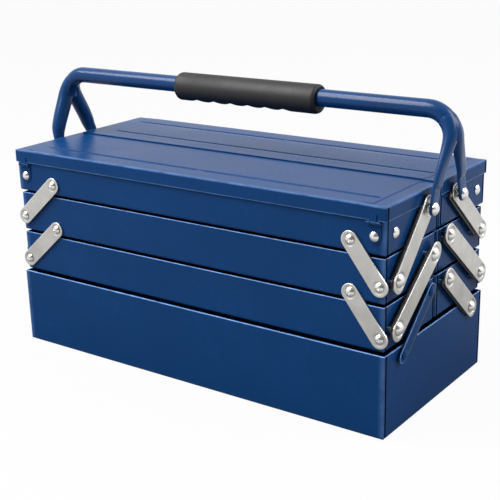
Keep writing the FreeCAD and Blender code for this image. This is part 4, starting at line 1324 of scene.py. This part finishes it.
@dataclass
class Walls:
    """Faces that rivets pass through, in distances from the middle of the box."""

    end_face: dict[Level, float] = field(default_factory=lambda: {
        Level.BASE: 265.0, Level.LOWER: 262.0, Level.MIDDLE: 262.0, Level.UPPER: 263.5})
    side_face: dict[Level, float] = field(default_factory=lambda: {
        Level.MIDDLE: 116.5, Level.UPPER: 117.8})
    tray_sheet: float = 0.8
    base_sheet: float = 1.0
    arm_plane: float = 267.3
    arm_face: float = 269.3
    link_plane: float = 265.5
    link_sheet: float = 1.5
    foot_plane: float = 272.4
    foot_face: float = 276.2
    gap: float = 0.1

    def sheet(self, level: Level) -> float:
        """Wall of a tray or of the base box."""
        return self.base_sheet if level is Level.BASE else self.tray_sheet

    def pivot(self, level: Level, plain: bool, holds_handle: bool, covered: bool, radius: float) -> Rivet:
        """The rivet of an arm's pivot, whose head is low where a foot of the handle covers it."""
        face = self.end_face[level]
        inside = face - self.sheet(level)
        steps = [(inside - 1.5, inside, 4.2), (inside, face, 2.5), (face, self.arm_plane - self.gap, 3.2),
                 (self.arm_plane - self.gap, self.arm_face + self.gap, 2.5)]
        if plain:
            return Rivet(tuple(steps), self.arm_face + self.gap, 5.4, 2.1, painted=True)
        if covered:
            return Rivet(tuple(steps), self.arm_face + self.gap, 5.4, 1.0)
        if not holds_handle:
            return Rivet(tuple(steps), self.arm_face - 0.8, radius, 4.6)
        steps += [(self.arm_face + self.gap, self.foot_plane - self.gap, 5.4),
                  (self.foot_plane - self.gap, self.foot_face + self.gap, 2.5)]
        return Rivet(tuple(steps), self.foot_face, 7.2, 4.2)

    def link_pin(self, level: Level, painted: bool) -> Rivet:
        """The flush pin of a link."""
        face = self.end_face[level]
        inside = face - self.sheet(level)
        return Rivet(((inside - 1.2, inside, 4.5), (inside, face, 2.0), (face, self.link_plane - self.gap, 3.0),
                      (self.link_plane - self.gap, self.link_plane + self.link_sheet + self.gap, 2.0)),
                     painted=painted)

    def bar_rivet(self, level: Level) -> Rivet:
        """The rivet at the top of a latch bar."""
        face = self.side_face[level]
        inside = face - self.tray_sheet
        return Rivet(((inside - 1.2, inside, 4.0), (inside, face, 2.0), (face, face + 0.5, 5.0),
                      (face + 0.5, face + 2.5, 2.0)), face + 1.9, 5.3, 2.9, dimple=1.7)

    def button(self, level: Level) -> Rivet:
        """The button at the bottom of a latch bar."""
        face = self.side_face[level]
        return Rivet(((face + 0.5, face + 2.5, 2.0),), face + 1.9, 5.3, 2.9, dimple=1.7)

    def lone(self, face: float, radius: float) -> Rivet:
        """A short rivet through a wall and the gusset behind it."""
        plates = self.tray_sheet + 1.5
        inside = face - plates
        return Rivet(((inside - 1.2, inside, 4.0), (inside, face, 2.0)), face, radius, 3.2)


class RivetWork:
    """Every rivet of the box, grouped by the body that carries it."""

    def __init__(self, tiers: dict[tuple[Side, Level], Tier]) -> None:
        self.tiers = tiers
        self.walls = Walls()

    def add_tier(self, rivets: Rivets, side: Side, level: Level) -> None:
        """Set the arm rivets and link pins that one level carries on one side."""
        order = list(Level)
        found: list[tuple[Tier, tuple[float, float], tuple[float, float], bool]] = []
        if level is not Level.BASE:
            tier = self.tiers[(side, level)]
            found.append((tier, tier.high, tier.link_high, level is Level.UPPER))
        if level is not Level.UPPER:
            tier = self.tiers[(side, order[order.index(level) + 1])]
            found.append((tier, tier.low, tier.link_low, False))
        front = side is Side.FRONT
        for end in End:
            for tier, pivot, pin, at_foot in found:
                arm = self.walls.pivot(level, tier.plain, at_foot and front, at_foot and not front,
                                       7.5 if front else 6.8)
                rivets.add(arm, "x", end.sign, side.sign * pivot[0], pivot[1])
                rivets.add(self.walls.link_pin(level, tier.plain), "x", end.sign, side.sign * pin[0], pin[1])

    def build(self, kit: Assembly) -> None:
        """Make every group."""
        base = Rivets("base_pivot_rivets")
        for side in Side:
            self.add_tier(base, side, Level.BASE)
        base.build(kit)
        for side in Side:
            for level in (Level.LOWER, Level.MIDDLE, Level.UPPER):
                rivets = Rivets(f"{side.word}_{level.value}_rivets")
                self.add_tier(rivets, side, level)
                for end, slant in SLANTS.items():
                    if level is not Level.LOWER:
                        up = BAR_HEIGHTS[level]
                        low_x = slant.rivet_x + slant.run
                        rivets.add(self.walls.bar_rivet(level), "y", side.sign, end.sign * slant.rivet_x, up)
                        rivets.add(self.walls.button(level), "y", side.sign, end.sign * low_x, up - slant.drop)
                    if level is Level.UPPER:
                        end_face = self.walls.end_face[level]
                        side_face = self.walls.side_face[level] + 1.0
                        rivets.add(self.walls.lone(end_face, 6.1), "x", end.sign, side.sign * 98.0, 225.0)
                        rivets.add(self.walls.lone(side_face, 5.4), "y", side.sign, end.sign * 250.0, 224.0)
                rivets.build(kit)


# Handle

@dataclass
class Handle:
    """The welded tube with a forked pair of flattened legs at each end."""

    tube_x: float = 279.0
    out: float = -3.0
    top: float = 335.0
    bend: float = 30.0
    radius: float = 10.0
    fork_angle: float = math.radians(60)
    foot_lean: float = 0.26
    foot_plane: float = 272.4
    plate_length: float = 21.0
    flattening: dict[End, Sequence[tuple[float, float, float]]] = field(default_factory=lambda: {
        End.RIGHT: ((0.0, 7.8, 1.9), (21.0, 7.8, 1.9), (24.0, 8.0, 2.8), (43.0, 8.2, 4.0), (62.0, 8.5, 6.0),
                    (78.0, 9.3, 8.3), (92.0, 10.0, 10.0), (200.0, 10.0, 10.0)),
        End.LEFT: ((0.0, 7.8, 1.9), (14.0, 7.8, 1.9), (17.0, 8.2, 3.2), (30.0, 9.3, 8.4), (48.0, 9.7, 9.6),
                   (84.0, 10.0, 10.0), (200.0, 10.0, 10.0))})
    feet: Sequence[tuple[int, float, float]] = ((-1, -36.0, 236.5), (1, 35.0, 236.5))
    sides: int = 40

    def tube_path(self) -> list[tuple[Vector, float]]:
        """Centre line of the tube, from the left fork over the box to the right one, with its share of the radius."""
        inner = self.tube_x - self.bend
        low = self.top - self.bend
        half = []
        for step in arc_steps(16):
            place = Vector((inner + self.bend * math.cos(step), self.out, low + self.bend * math.sin(step)))
            half.append((place, 0.35 + 0.65 * smooth_step(0.0, 0.85, step)))
        middle = [(Vector((x, self.out, self.top)), 1.0) for x in spaced(inner - 25, -inner + 25, 60.0)]
        mirrored = [(Vector((-place.x, place.y, place.z)), share) for place, share in reversed(half)]
        return half + middle + mirrored

    def tube(self, kit: Assembly) -> bpy.types.Mesh:
        """The bent tube as a mesh."""
        data = bpy.data.curves.new("tube_path", "CURVE")
        data.dimensions = "3D"
        spline = data.splines.new("POLY")
        path = self.tube_path()
        spline.points.add(len(path) - 1)
        for point, (place, share) in zip(spline.points, path):
            point.co = (*(place * MM), 1.0)
            point.radius = share
        source = bpy.data.objects.new("tube_path", data)
        bpy.context.scene.collection.objects.link(source)
        values = {"Radius": self.radius * MM, "Sides": self.sides, "Finish": kit.finishes.tube_paint}
        return grown_mesh(source, kit.trees.tube, values)

    def leg_line(self, sign: int, foot_out: float, foot_up: float) -> list[tuple[Vector, Vector, Vector, float]]:
        """Line of the right-hand leg: place, direction, outward normal and distance to the foot's pivot."""
        low = self.top - self.bend
        curved = self.bend * self.fork_angle
        total = curved + low - foot_up
        reach = sign * (foot_out - self.out)
        stretch = math.hypot(1.0, self.foot_lean)
        straight = (self.plate_length + 3) / stretch
        swung = reach - self.foot_lean * straight
        end_slope = self.foot_lean * (total - straight)
        foot = self.half_sizes(End.RIGHT, 0.0)[0]
        stops = spaced(total * stretch, self.plate_length + 4, 3.0)
        stops += spaced(self.plate_length + 3, self.plate_length, 0.75) + [self.plate_length - 1, 12.0, 6.0, 0.0]
        stops += [-foot * math.sin(step) for step in arc_steps(9)[1:-1]] + [-foot * 0.998]
        rows = []
        for left in stops:
            gone = total - left / stretch
            angle = max(self.fork_angle - gone / self.bend, 0.0)
            normal = Vector((math.cos(angle), 0, math.sin(angle)))
            share = gone / (total - straight)
            if share < 1:
                out = swung * share ** 2 * (3 - 2 * share) + end_slope * share ** 2 * (share - 1)
                slope = (swung * 6 * share * (1 - share) + end_slope * share * (3 * share - 2)) / (total - straight)
            else:
                out = swung + self.foot_lean * (gone - total + straight)
                slope = self.foot_lean
            place = Vector((self.tube_x - self.bend * (1 - math.cos(angle)), self.out + sign * out,
                            low + self.bend * math.sin(angle) - max(gone - curved, 0.0)))
            down = Vector((math.sin(angle), sign * slope, -math.cos(angle))).normalized()
            rows.append((place, down, normal, left))
        return rows

    def half_sizes(self, end: End, left: float) -> tuple[float, float]:
        """Half width and half thickness of a leg at a distance from the foot's pivot."""
        rows = self.flattening[end]
        for (low, low_wide, low_thick), (high, wide, thick) in zip(rows, rows[1:]):
            if left <= high:
                share = max(left - low, 0.0) / (high - low)
                return low_wide + (wide - low_wide) * share, low_thick + (thick - low_thick) * share
        return rows[-1][1:]

    def section(self, end: End, place: Vector, down: Vector, normal: Vector,
                left: float) -> tuple[list[Point], float]:
        """One section of a leg.

        Args:
            end: The end of the box that the leg is at.
            place: Middle of the leg on its line.
            down: Direction of the line.
            normal: Direction away from the box.
            left: Distance to the foot's pivot.

        Returns:
            The section's points and the painted highlight on its edge.
        """
        across = normal.cross(down).normalized()
        outward = down.cross(across).normalized()
        wide, thick = self.half_sizes(end, left)
        foot_wide, foot_thick = self.half_sizes(end, 0.0)
        flat = (self.radius - thick) / (self.radius - foot_thick)
        power = 2 / (2 + 3.0 * flat ** 3)
        middle = place + outward * (flat ** 2 * (self.foot_plane + foot_thick - self.tube_x))
        grown = 0.9 + 0.1 * smooth_step(-0.866, -0.6, -down.x)
        wide *= grown
        thick *= grown
        if left < 0:
            rounding = math.sqrt(max(1 - (left / foot_wide) ** 2, 0.0))
            wide *= rounding
            thick *= min(1.0, 0.55 + 0.75 * rounding)
        points = []
        for index in range(self.sides):
            turn = 2 * math.pi * index / self.sides
            cosine, sine = math.cos(turn), math.sin(turn)
            points.append(tuple(middle + across * (wide * math.copysign(abs(cosine) ** power, cosine))
                                + outward * (thick * math.copysign(abs(sine) ** power, sine))))
        # Flattened parts of a leg get a faint painted highlight.
        return points, 0.04 * flat

    def legs(self, kit: Assembly) -> list[bpy.types.Mesh]:
        """The four legs, each a closed mesh."""
        meshes = []
        for sign, foot_out, foot_up in self.feet:
            for end in End:
                draft = Draft()
                rings = []
                for place, down, normal, left in self.leg_line(sign, foot_out, foot_up):
                    points, rub = self.section(end, place, down, normal, left)
                    rings.append(draft.ring([(end.sign * x, y, z) for x, y, z in points], rub))
                draft.loft(rings)
                draft.cap(rings[0])
                draft.cap(rings[-1])
                piece = draft.build("leg", kit.finishes.tube_paint)
                meshes.append(piece.data)
                bpy.data.objects.remove(piece)
        return meshes

    def build(self, kit: Assembly) -> None:
        """Join tube and legs and let them stand for the tube's node."""
        mesh = joined_mesh("handle_tube_forked", [self.tube(kit)] + self.legs(kit))
        piece = dressed_object("handle_tube_forked", mesh, kit.finishes.tube_paint)
        kit.stand_for(piece, "handle_tube")


@dataclass
class Grip:
    """The foam sleeve with finger hollows beneath."""

    half_length: float = 100.5
    middle: float = 14.5
    radius: float = 17.0
    out: float = -3.0
    up: float = 335.0
    sag: float = 2.0
    bore: float = 10.0
    edge: float = 4.5
    hollow_radius: float = 14.0
    hollow_depth: float = 3.2
    hollow_count: int = 6
    pitch: float = 25.1
    shift: float = -7.8
    sides: int = 72

    def underside(self, x: float) -> float:
        """Lowest height of the sleeve under the tube's axis at a place along it."""
        lift = 0.0
        for index in range(self.hollow_count):
            middle = self.shift + (index - (self.hollow_count - 1) / 2) * self.pitch
            gap = abs(x - middle)
            half = math.sqrt(self.hollow_radius ** 2 - (self.hollow_radius - self.hollow_depth) ** 2)
            if gap < half * 1.25:
                lift = max(lift, self.hollow_depth * 0.5 * (1 + math.cos(math.pi * gap / (half * 1.25))))
        return -self.radius + lift

    def ring(self, draft: Draft, x: float, radius: float) -> list[int]:
        """One ring of the sleeve, pressed up where a hollow is, whose outside hangs a little below the tube."""
        low = self.underside(x)
        sink = self.sag * (radius - self.bore) / (self.radius - self.bore)
        points = []
        for index in range(self.sides):
            turn = 2 * math.pi * index / self.sides
            up = radius * math.cos(turn)
            across = radius * math.sin(turn)
            if up < low + 1.5 and radius > self.bore + 3:
                over = low + 1.5 - up
                up = low + 1.5 - 1.5 * (1 - math.exp(-over / 1.5))
            points.append((self.middle + x, self.out + across, self.up + up - sink))
        return draft.ring(points)

    def build(self, kit: Assembly) -> None:
        """Make the sleeve and let it stand for its node."""
        draft = Draft()
        rings = []
        stops: list[tuple[float, float]] = []
        for end in (-1, 1):
            face = end * self.half_length
            lip = [(face - end * 1.6, self.bore + 0.05), (face - end * 1.6, self.bore + 2.2),
                   (face - end * 0.5, self.bore + 3.0), (face, self.bore + 3.7)]
            for step in arc_steps(6):
                lip.append((face - end * self.edge * (1 - math.cos(step)),
                            self.radius - self.edge * (1 - math.sin(step))))
            stops += lip if end < 0 else list(reversed(lip))
            if end < 0:
                stops += [(x, self.radius) for x in spaced(-self.half_length + self.edge + 1,
                                                           self.half_length - self.edge - 1, 1.6)]
        for x, radius in stops:
            rings.append(self.ring(draft, x, radius))
        rings.append(rings[0])
        draft.loft(rings)
        piece = draft.build("handle_grip_foam", kit.finishes.foam)
        kit.stand_for(piece, "handle_grip")


# Studio

@dataclass
class Studio:
    """Camera, floor and lights."""

    focal_px: float = 1077.4
    image_px: float = 500.0
    sensor: float = 36.0
    yaw: float = 35.9
    pitch: float = 18.01
    roll: float = -1.4
    distance: float = 1335.1
    aim_up: float = 150.0
    slide: tuple[float, float] = (8.1, -14.9)
    ambient: float = 0.3
    open_side: Point = (0.57, -0.79, 0.22)
    open_side_level: float = 0.2
    # Glow of the floor in reflections next to the box, and the distance out to full white: a painted shadow round the
    # box.
    under_box: float = 0.25
    lit_floor: float = 0.5

    def camera(self) -> None:
        """Set the camera at the photograph's angle."""
        yaw, pitch, roll = (math.radians(value) for value in (self.yaw, self.pitch, self.roll))
        back = Vector((math.sin(yaw) * math.cos(pitch), -math.cos(yaw) * math.cos(pitch), math.sin(pitch)))
        right = Vector((math.cos(yaw), math.sin(yaw), 0.0))
        up = right.cross(-back)
        place = Vector((0, 0, self.aim_up)) + back * self.distance + right * self.slide[0] + up * self.slide[1]
        rolled_right = math.cos(roll) * right + math.sin(roll) * up
        rolled_up = math.cos(roll) * up - math.sin(roll) * right
        data = bpy.data.cameras.new("camera")
        data.sensor_width = self.sensor
        data.lens = self.focal_px / self.image_px * self.sensor
        data.clip_end = 100.0
        camera = bpy.data.objects.new("camera", data)
        camera.matrix_world = Matrix.Translation(place * MM) @ Matrix((rolled_right, rolled_up, back)).transposed().to_4x4()
        bpy.context.scene.collection.objects.link(camera)
        bpy.context.scene.camera = camera

    def lamp(self, name: str, direction: Point, distance: float, width: float, power: float) -> None:
        """Add a soft square lamp that looks at the box.

        Args:
            name: Name of the lamp.
            direction: Where it stands, as seen from the box.
            distance: How far away it is, in metres.
            width: Its side, in metres.
            power: Its power in watts.
        """
        data = bpy.data.lights.new(name, "AREA")
        data.shape = "SQUARE"
        data.size = width
        data.energy = power
        lamp = bpy.data.objects.new(name, data)
        towards = Vector(direction).normalized()
        target = Vector((0, 0, 0.15))
        lamp.location = target + towards * distance
        lamp.rotation_mode = "QUATERNION"
        lamp.rotation_quaternion = towards.to_track_quat("Z", "Y")
        bpy.context.scene.collection.objects.link(lamp)

    def seen_directly(self, tree: Tree) -> bpy.types.NodeSocket:
        """1 for rays that show the surface itself: from the camera, a gloss or glass."""
        path = tree.add("ShaderNodeLightPath").outputs
        gloss = tree.math("MAXIMUM", path["Is Camera Ray"], path["Is Glossy Ray"])
        return tree.math("MAXIMUM", gloss, path["Is Transmission Ray"])

    def floor(self) -> None:
        """A large pale floor that keeps the box's shadow, and whose glow in reflections is dimmed near the box: a
        painted shadow.
        """
        mesh = bpy.data.meshes.new("floor")
        reach = 14.0
        low = -0.0002
        mesh.from_pydata([(-reach, -reach, low), (reach, -reach, low), (reach, reach, low), (-reach, reach, low)],
                         [], [(0, 1, 2, 3)])
        material = bpy.data.materials.new("floor")
        material.use_nodes = True
        tree = Tree(material.node_tree)
        material.node_tree.nodes.clear()
        plain = tree.add("ShaderNodeBsdfDiffuse", {"Color": (0.4, 0.4, 0.4, 1.0)})
        place = tree.add("ShaderNodeTexCoord").outputs["Object"]
        mirrored = tree.add("ShaderNodeVectorMath", {0: place}, operation="ABSOLUTE").outputs["Vector"]
        past = tree.add("ShaderNodeVectorMath", {0: mirrored, 1: (0.265, 0.12, 0.0)}, operation="SUBTRACT")
        beyond = tree.add("ShaderNodeVectorMath", {0: past.outputs["Vector"], 1: (0.0, 0.0, 0.0)},
                          operation="MAXIMUM")
        gap = tree.add("ShaderNodeVectorMath", {0: beyond.outputs["Vector"]}, operation="LENGTH").outputs["Value"]
        # Seen in reflections, the floor glows less near the box: a painted shadow.
        glow_with_painted_shadow = tree.spread(gap, 0.0, self.lit_floor, self.under_box, 1.0)
        camera_ray = tree.add("ShaderNodeLightPath").outputs["Is Camera Ray"]
        strength = tree.math("MAXIMUM", glow_with_painted_shadow, camera_ray)
        bright = tree.add("ShaderNodeEmission", {"Color": (1.0, 1.0, 1.0, 1.0), "Strength": strength})
        share = tree.math("MULTIPLY", self.seen_directly(tree), 0.96)
        mixed = tree.add("ShaderNodeMixShader", {0: share, 1: plain.outputs[0], 2: bright.outputs[0]})
        tree.add("ShaderNodeOutputMaterial", {"Surface": mixed.outputs[0]})
        floor = dressed_object("floor", mesh, material)

    def world(self) -> None:
        """A pale surround, whose open side in front of the box is dimmer in reflections."""
        world = bpy.data.worlds.new("surround")
        bpy.context.scene.world = world
        world.use_nodes = True
        world.node_tree.nodes.clear()
        tree = Tree(world.node_tree)
        direction = tree.add("ShaderNodeTexCoord").outputs["Generated"]
        open_side = tree.add("ShaderNodeVectorMath", {0: direction, 1: self.open_side}, operation="DOT_PRODUCT")
        shown = tree.spread(open_side.outputs["Value"], 0.35, 0.85, 1.0, self.open_side_level)
        camera_ray = tree.add("ShaderNodeLightPath").outputs["Is Camera Ray"]
        seen = tree.math("MAXIMUM", shown, camera_ray)
        level = tree.math("SUBTRACT", seen, self.ambient)
        strength = tree.math("MULTIPLY_ADD", self.seen_directly(tree), level, self.ambient)
        light = tree.add("ShaderNodeBackground", {"Color": (1.0, 1.0, 1.0, 1.0), "Strength": strength})
        tree.add("ShaderNodeOutputWorld", {"Surface": light.outputs[0]})

    def build(self) -> None:
        """Set up the whole studio."""
        self.camera()
        self.lamp("key_front", (-0.437, -0.437, 0.786), 2.4, 1.7, 112.0)
        self.lamp("key_end", (0.70, 0.35, 0.62), 2.4, 1.4, 50.0)
        self.floor()
        self.world()
        bpy.context.scene.view_settings.view_transform = "Standard"


class ToolBox:
    """The whole tool box."""

    tier_rows = (
        (Side.FRONT, Level.LOWER, (84.0, 87.0), (24.0, 139.5), 46.0, False, 14.5),
        (Side.FRONT, Level.MIDDLE, (96.0, 120.5), (16.5, 180.0), 30.0, True),
        (Side.FRONT, Level.UPPER, (96.0, 173.5), (36.0, 236.5), 36.0, True),
        (Side.REAR, Level.LOWER, (84.0, 87.0), (24.0, 139.5), 46.0, False),
        (Side.REAR, Level.MIDDLE, (107.0, 123.5), (22.0, 192.0), 28.0, False),
        (Side.REAR, Level.UPPER, (105.0, 177.0), (35.0, 236.5), 45.0, False, 20.0),
    )

    def __init__(self, frame: dict) -> None:
        self.kit = Assembly(frame)
        self.tiers = {(row[0], row[1]): Tier(*row) for row in self.tier_rows}

    def pans(self) -> Iterable[Pan]:
        """The base box and the six trays."""
        yield Pan("base_box", 265.0, -120.0, 120.0, 0.0, 96.0, sheet=1.0)
        heights = ((Level.LOWER, 98.7, 148.5), (Level.MIDDLE, 151.6, 201.0), (Level.UPPER, 204.2, 255.5))
        for side in Side:
            for index, (level, low, rim) in enumerate(heights):
                length = 263.5 if level is Level.UPPER else 262.0
                far = 117.8 if level is Level.UPPER else 116.5
                near_far = sorted((side.sign * 1.5, side.sign * far))
                yield Pan(f"{side.word}_{level.value}_tray", length, *near_far, low, rim,
                          phase=index * 1.7 + side.sign)

    def build(self) -> None:
        """Make every piece."""
        for pan in self.pans():
            pan.build(self.kit)
        Lid(Side.FRONT).build(self.kit)
        rear_grooves = ((-232, -1, 91.5), (16, 222, 91.5), (-223, 238, 29.5))
        Lid(Side.REAR, grooves=rear_grooves, lip_start=-4.5).build(self.kit)
        for side in Side:
            for level, face in Walls().side_face.items():
                LatchBars(side, level, face).build(self.kit)
            self.kit.dress(f"{side.word}_hinge_leaves", self.kit.finishes.paint)
            self.kit.dress(f"{side.word}_hinge_pins", self.kit.finishes.rivet)
            self.kit.dress(f"{side.word}_corner_gussets", self.kit.finishes.paint)
        for tier in self.tiers.values():
            tier.build(self.kit)
        RivetWork(self.tiers).build(self.kit)
        Handle().build(self.kit)
        Grip().build(self.kit)
        studs = Rivets("handle_rear_studs")
        walls = Walls()
        stud = Rivet(((walls.foot_plane, walls.foot_face, 2.5),), walls.foot_face, 7.2, 4.2)
        for end in End:
            studs.add(stud, "x", end.sign, 35.0, 236.5)
        studs.build(self.kit)


def main() -> None:
    """Load the frame, build the tool box round it and set up the studio."""
    logging.basicConfig(level=logging.INFO, format="%(name)s: %(message)s")
    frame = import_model()
    ToolBox(frame).build()
    Studio().build()


if __name__ == "__main__":
    main()
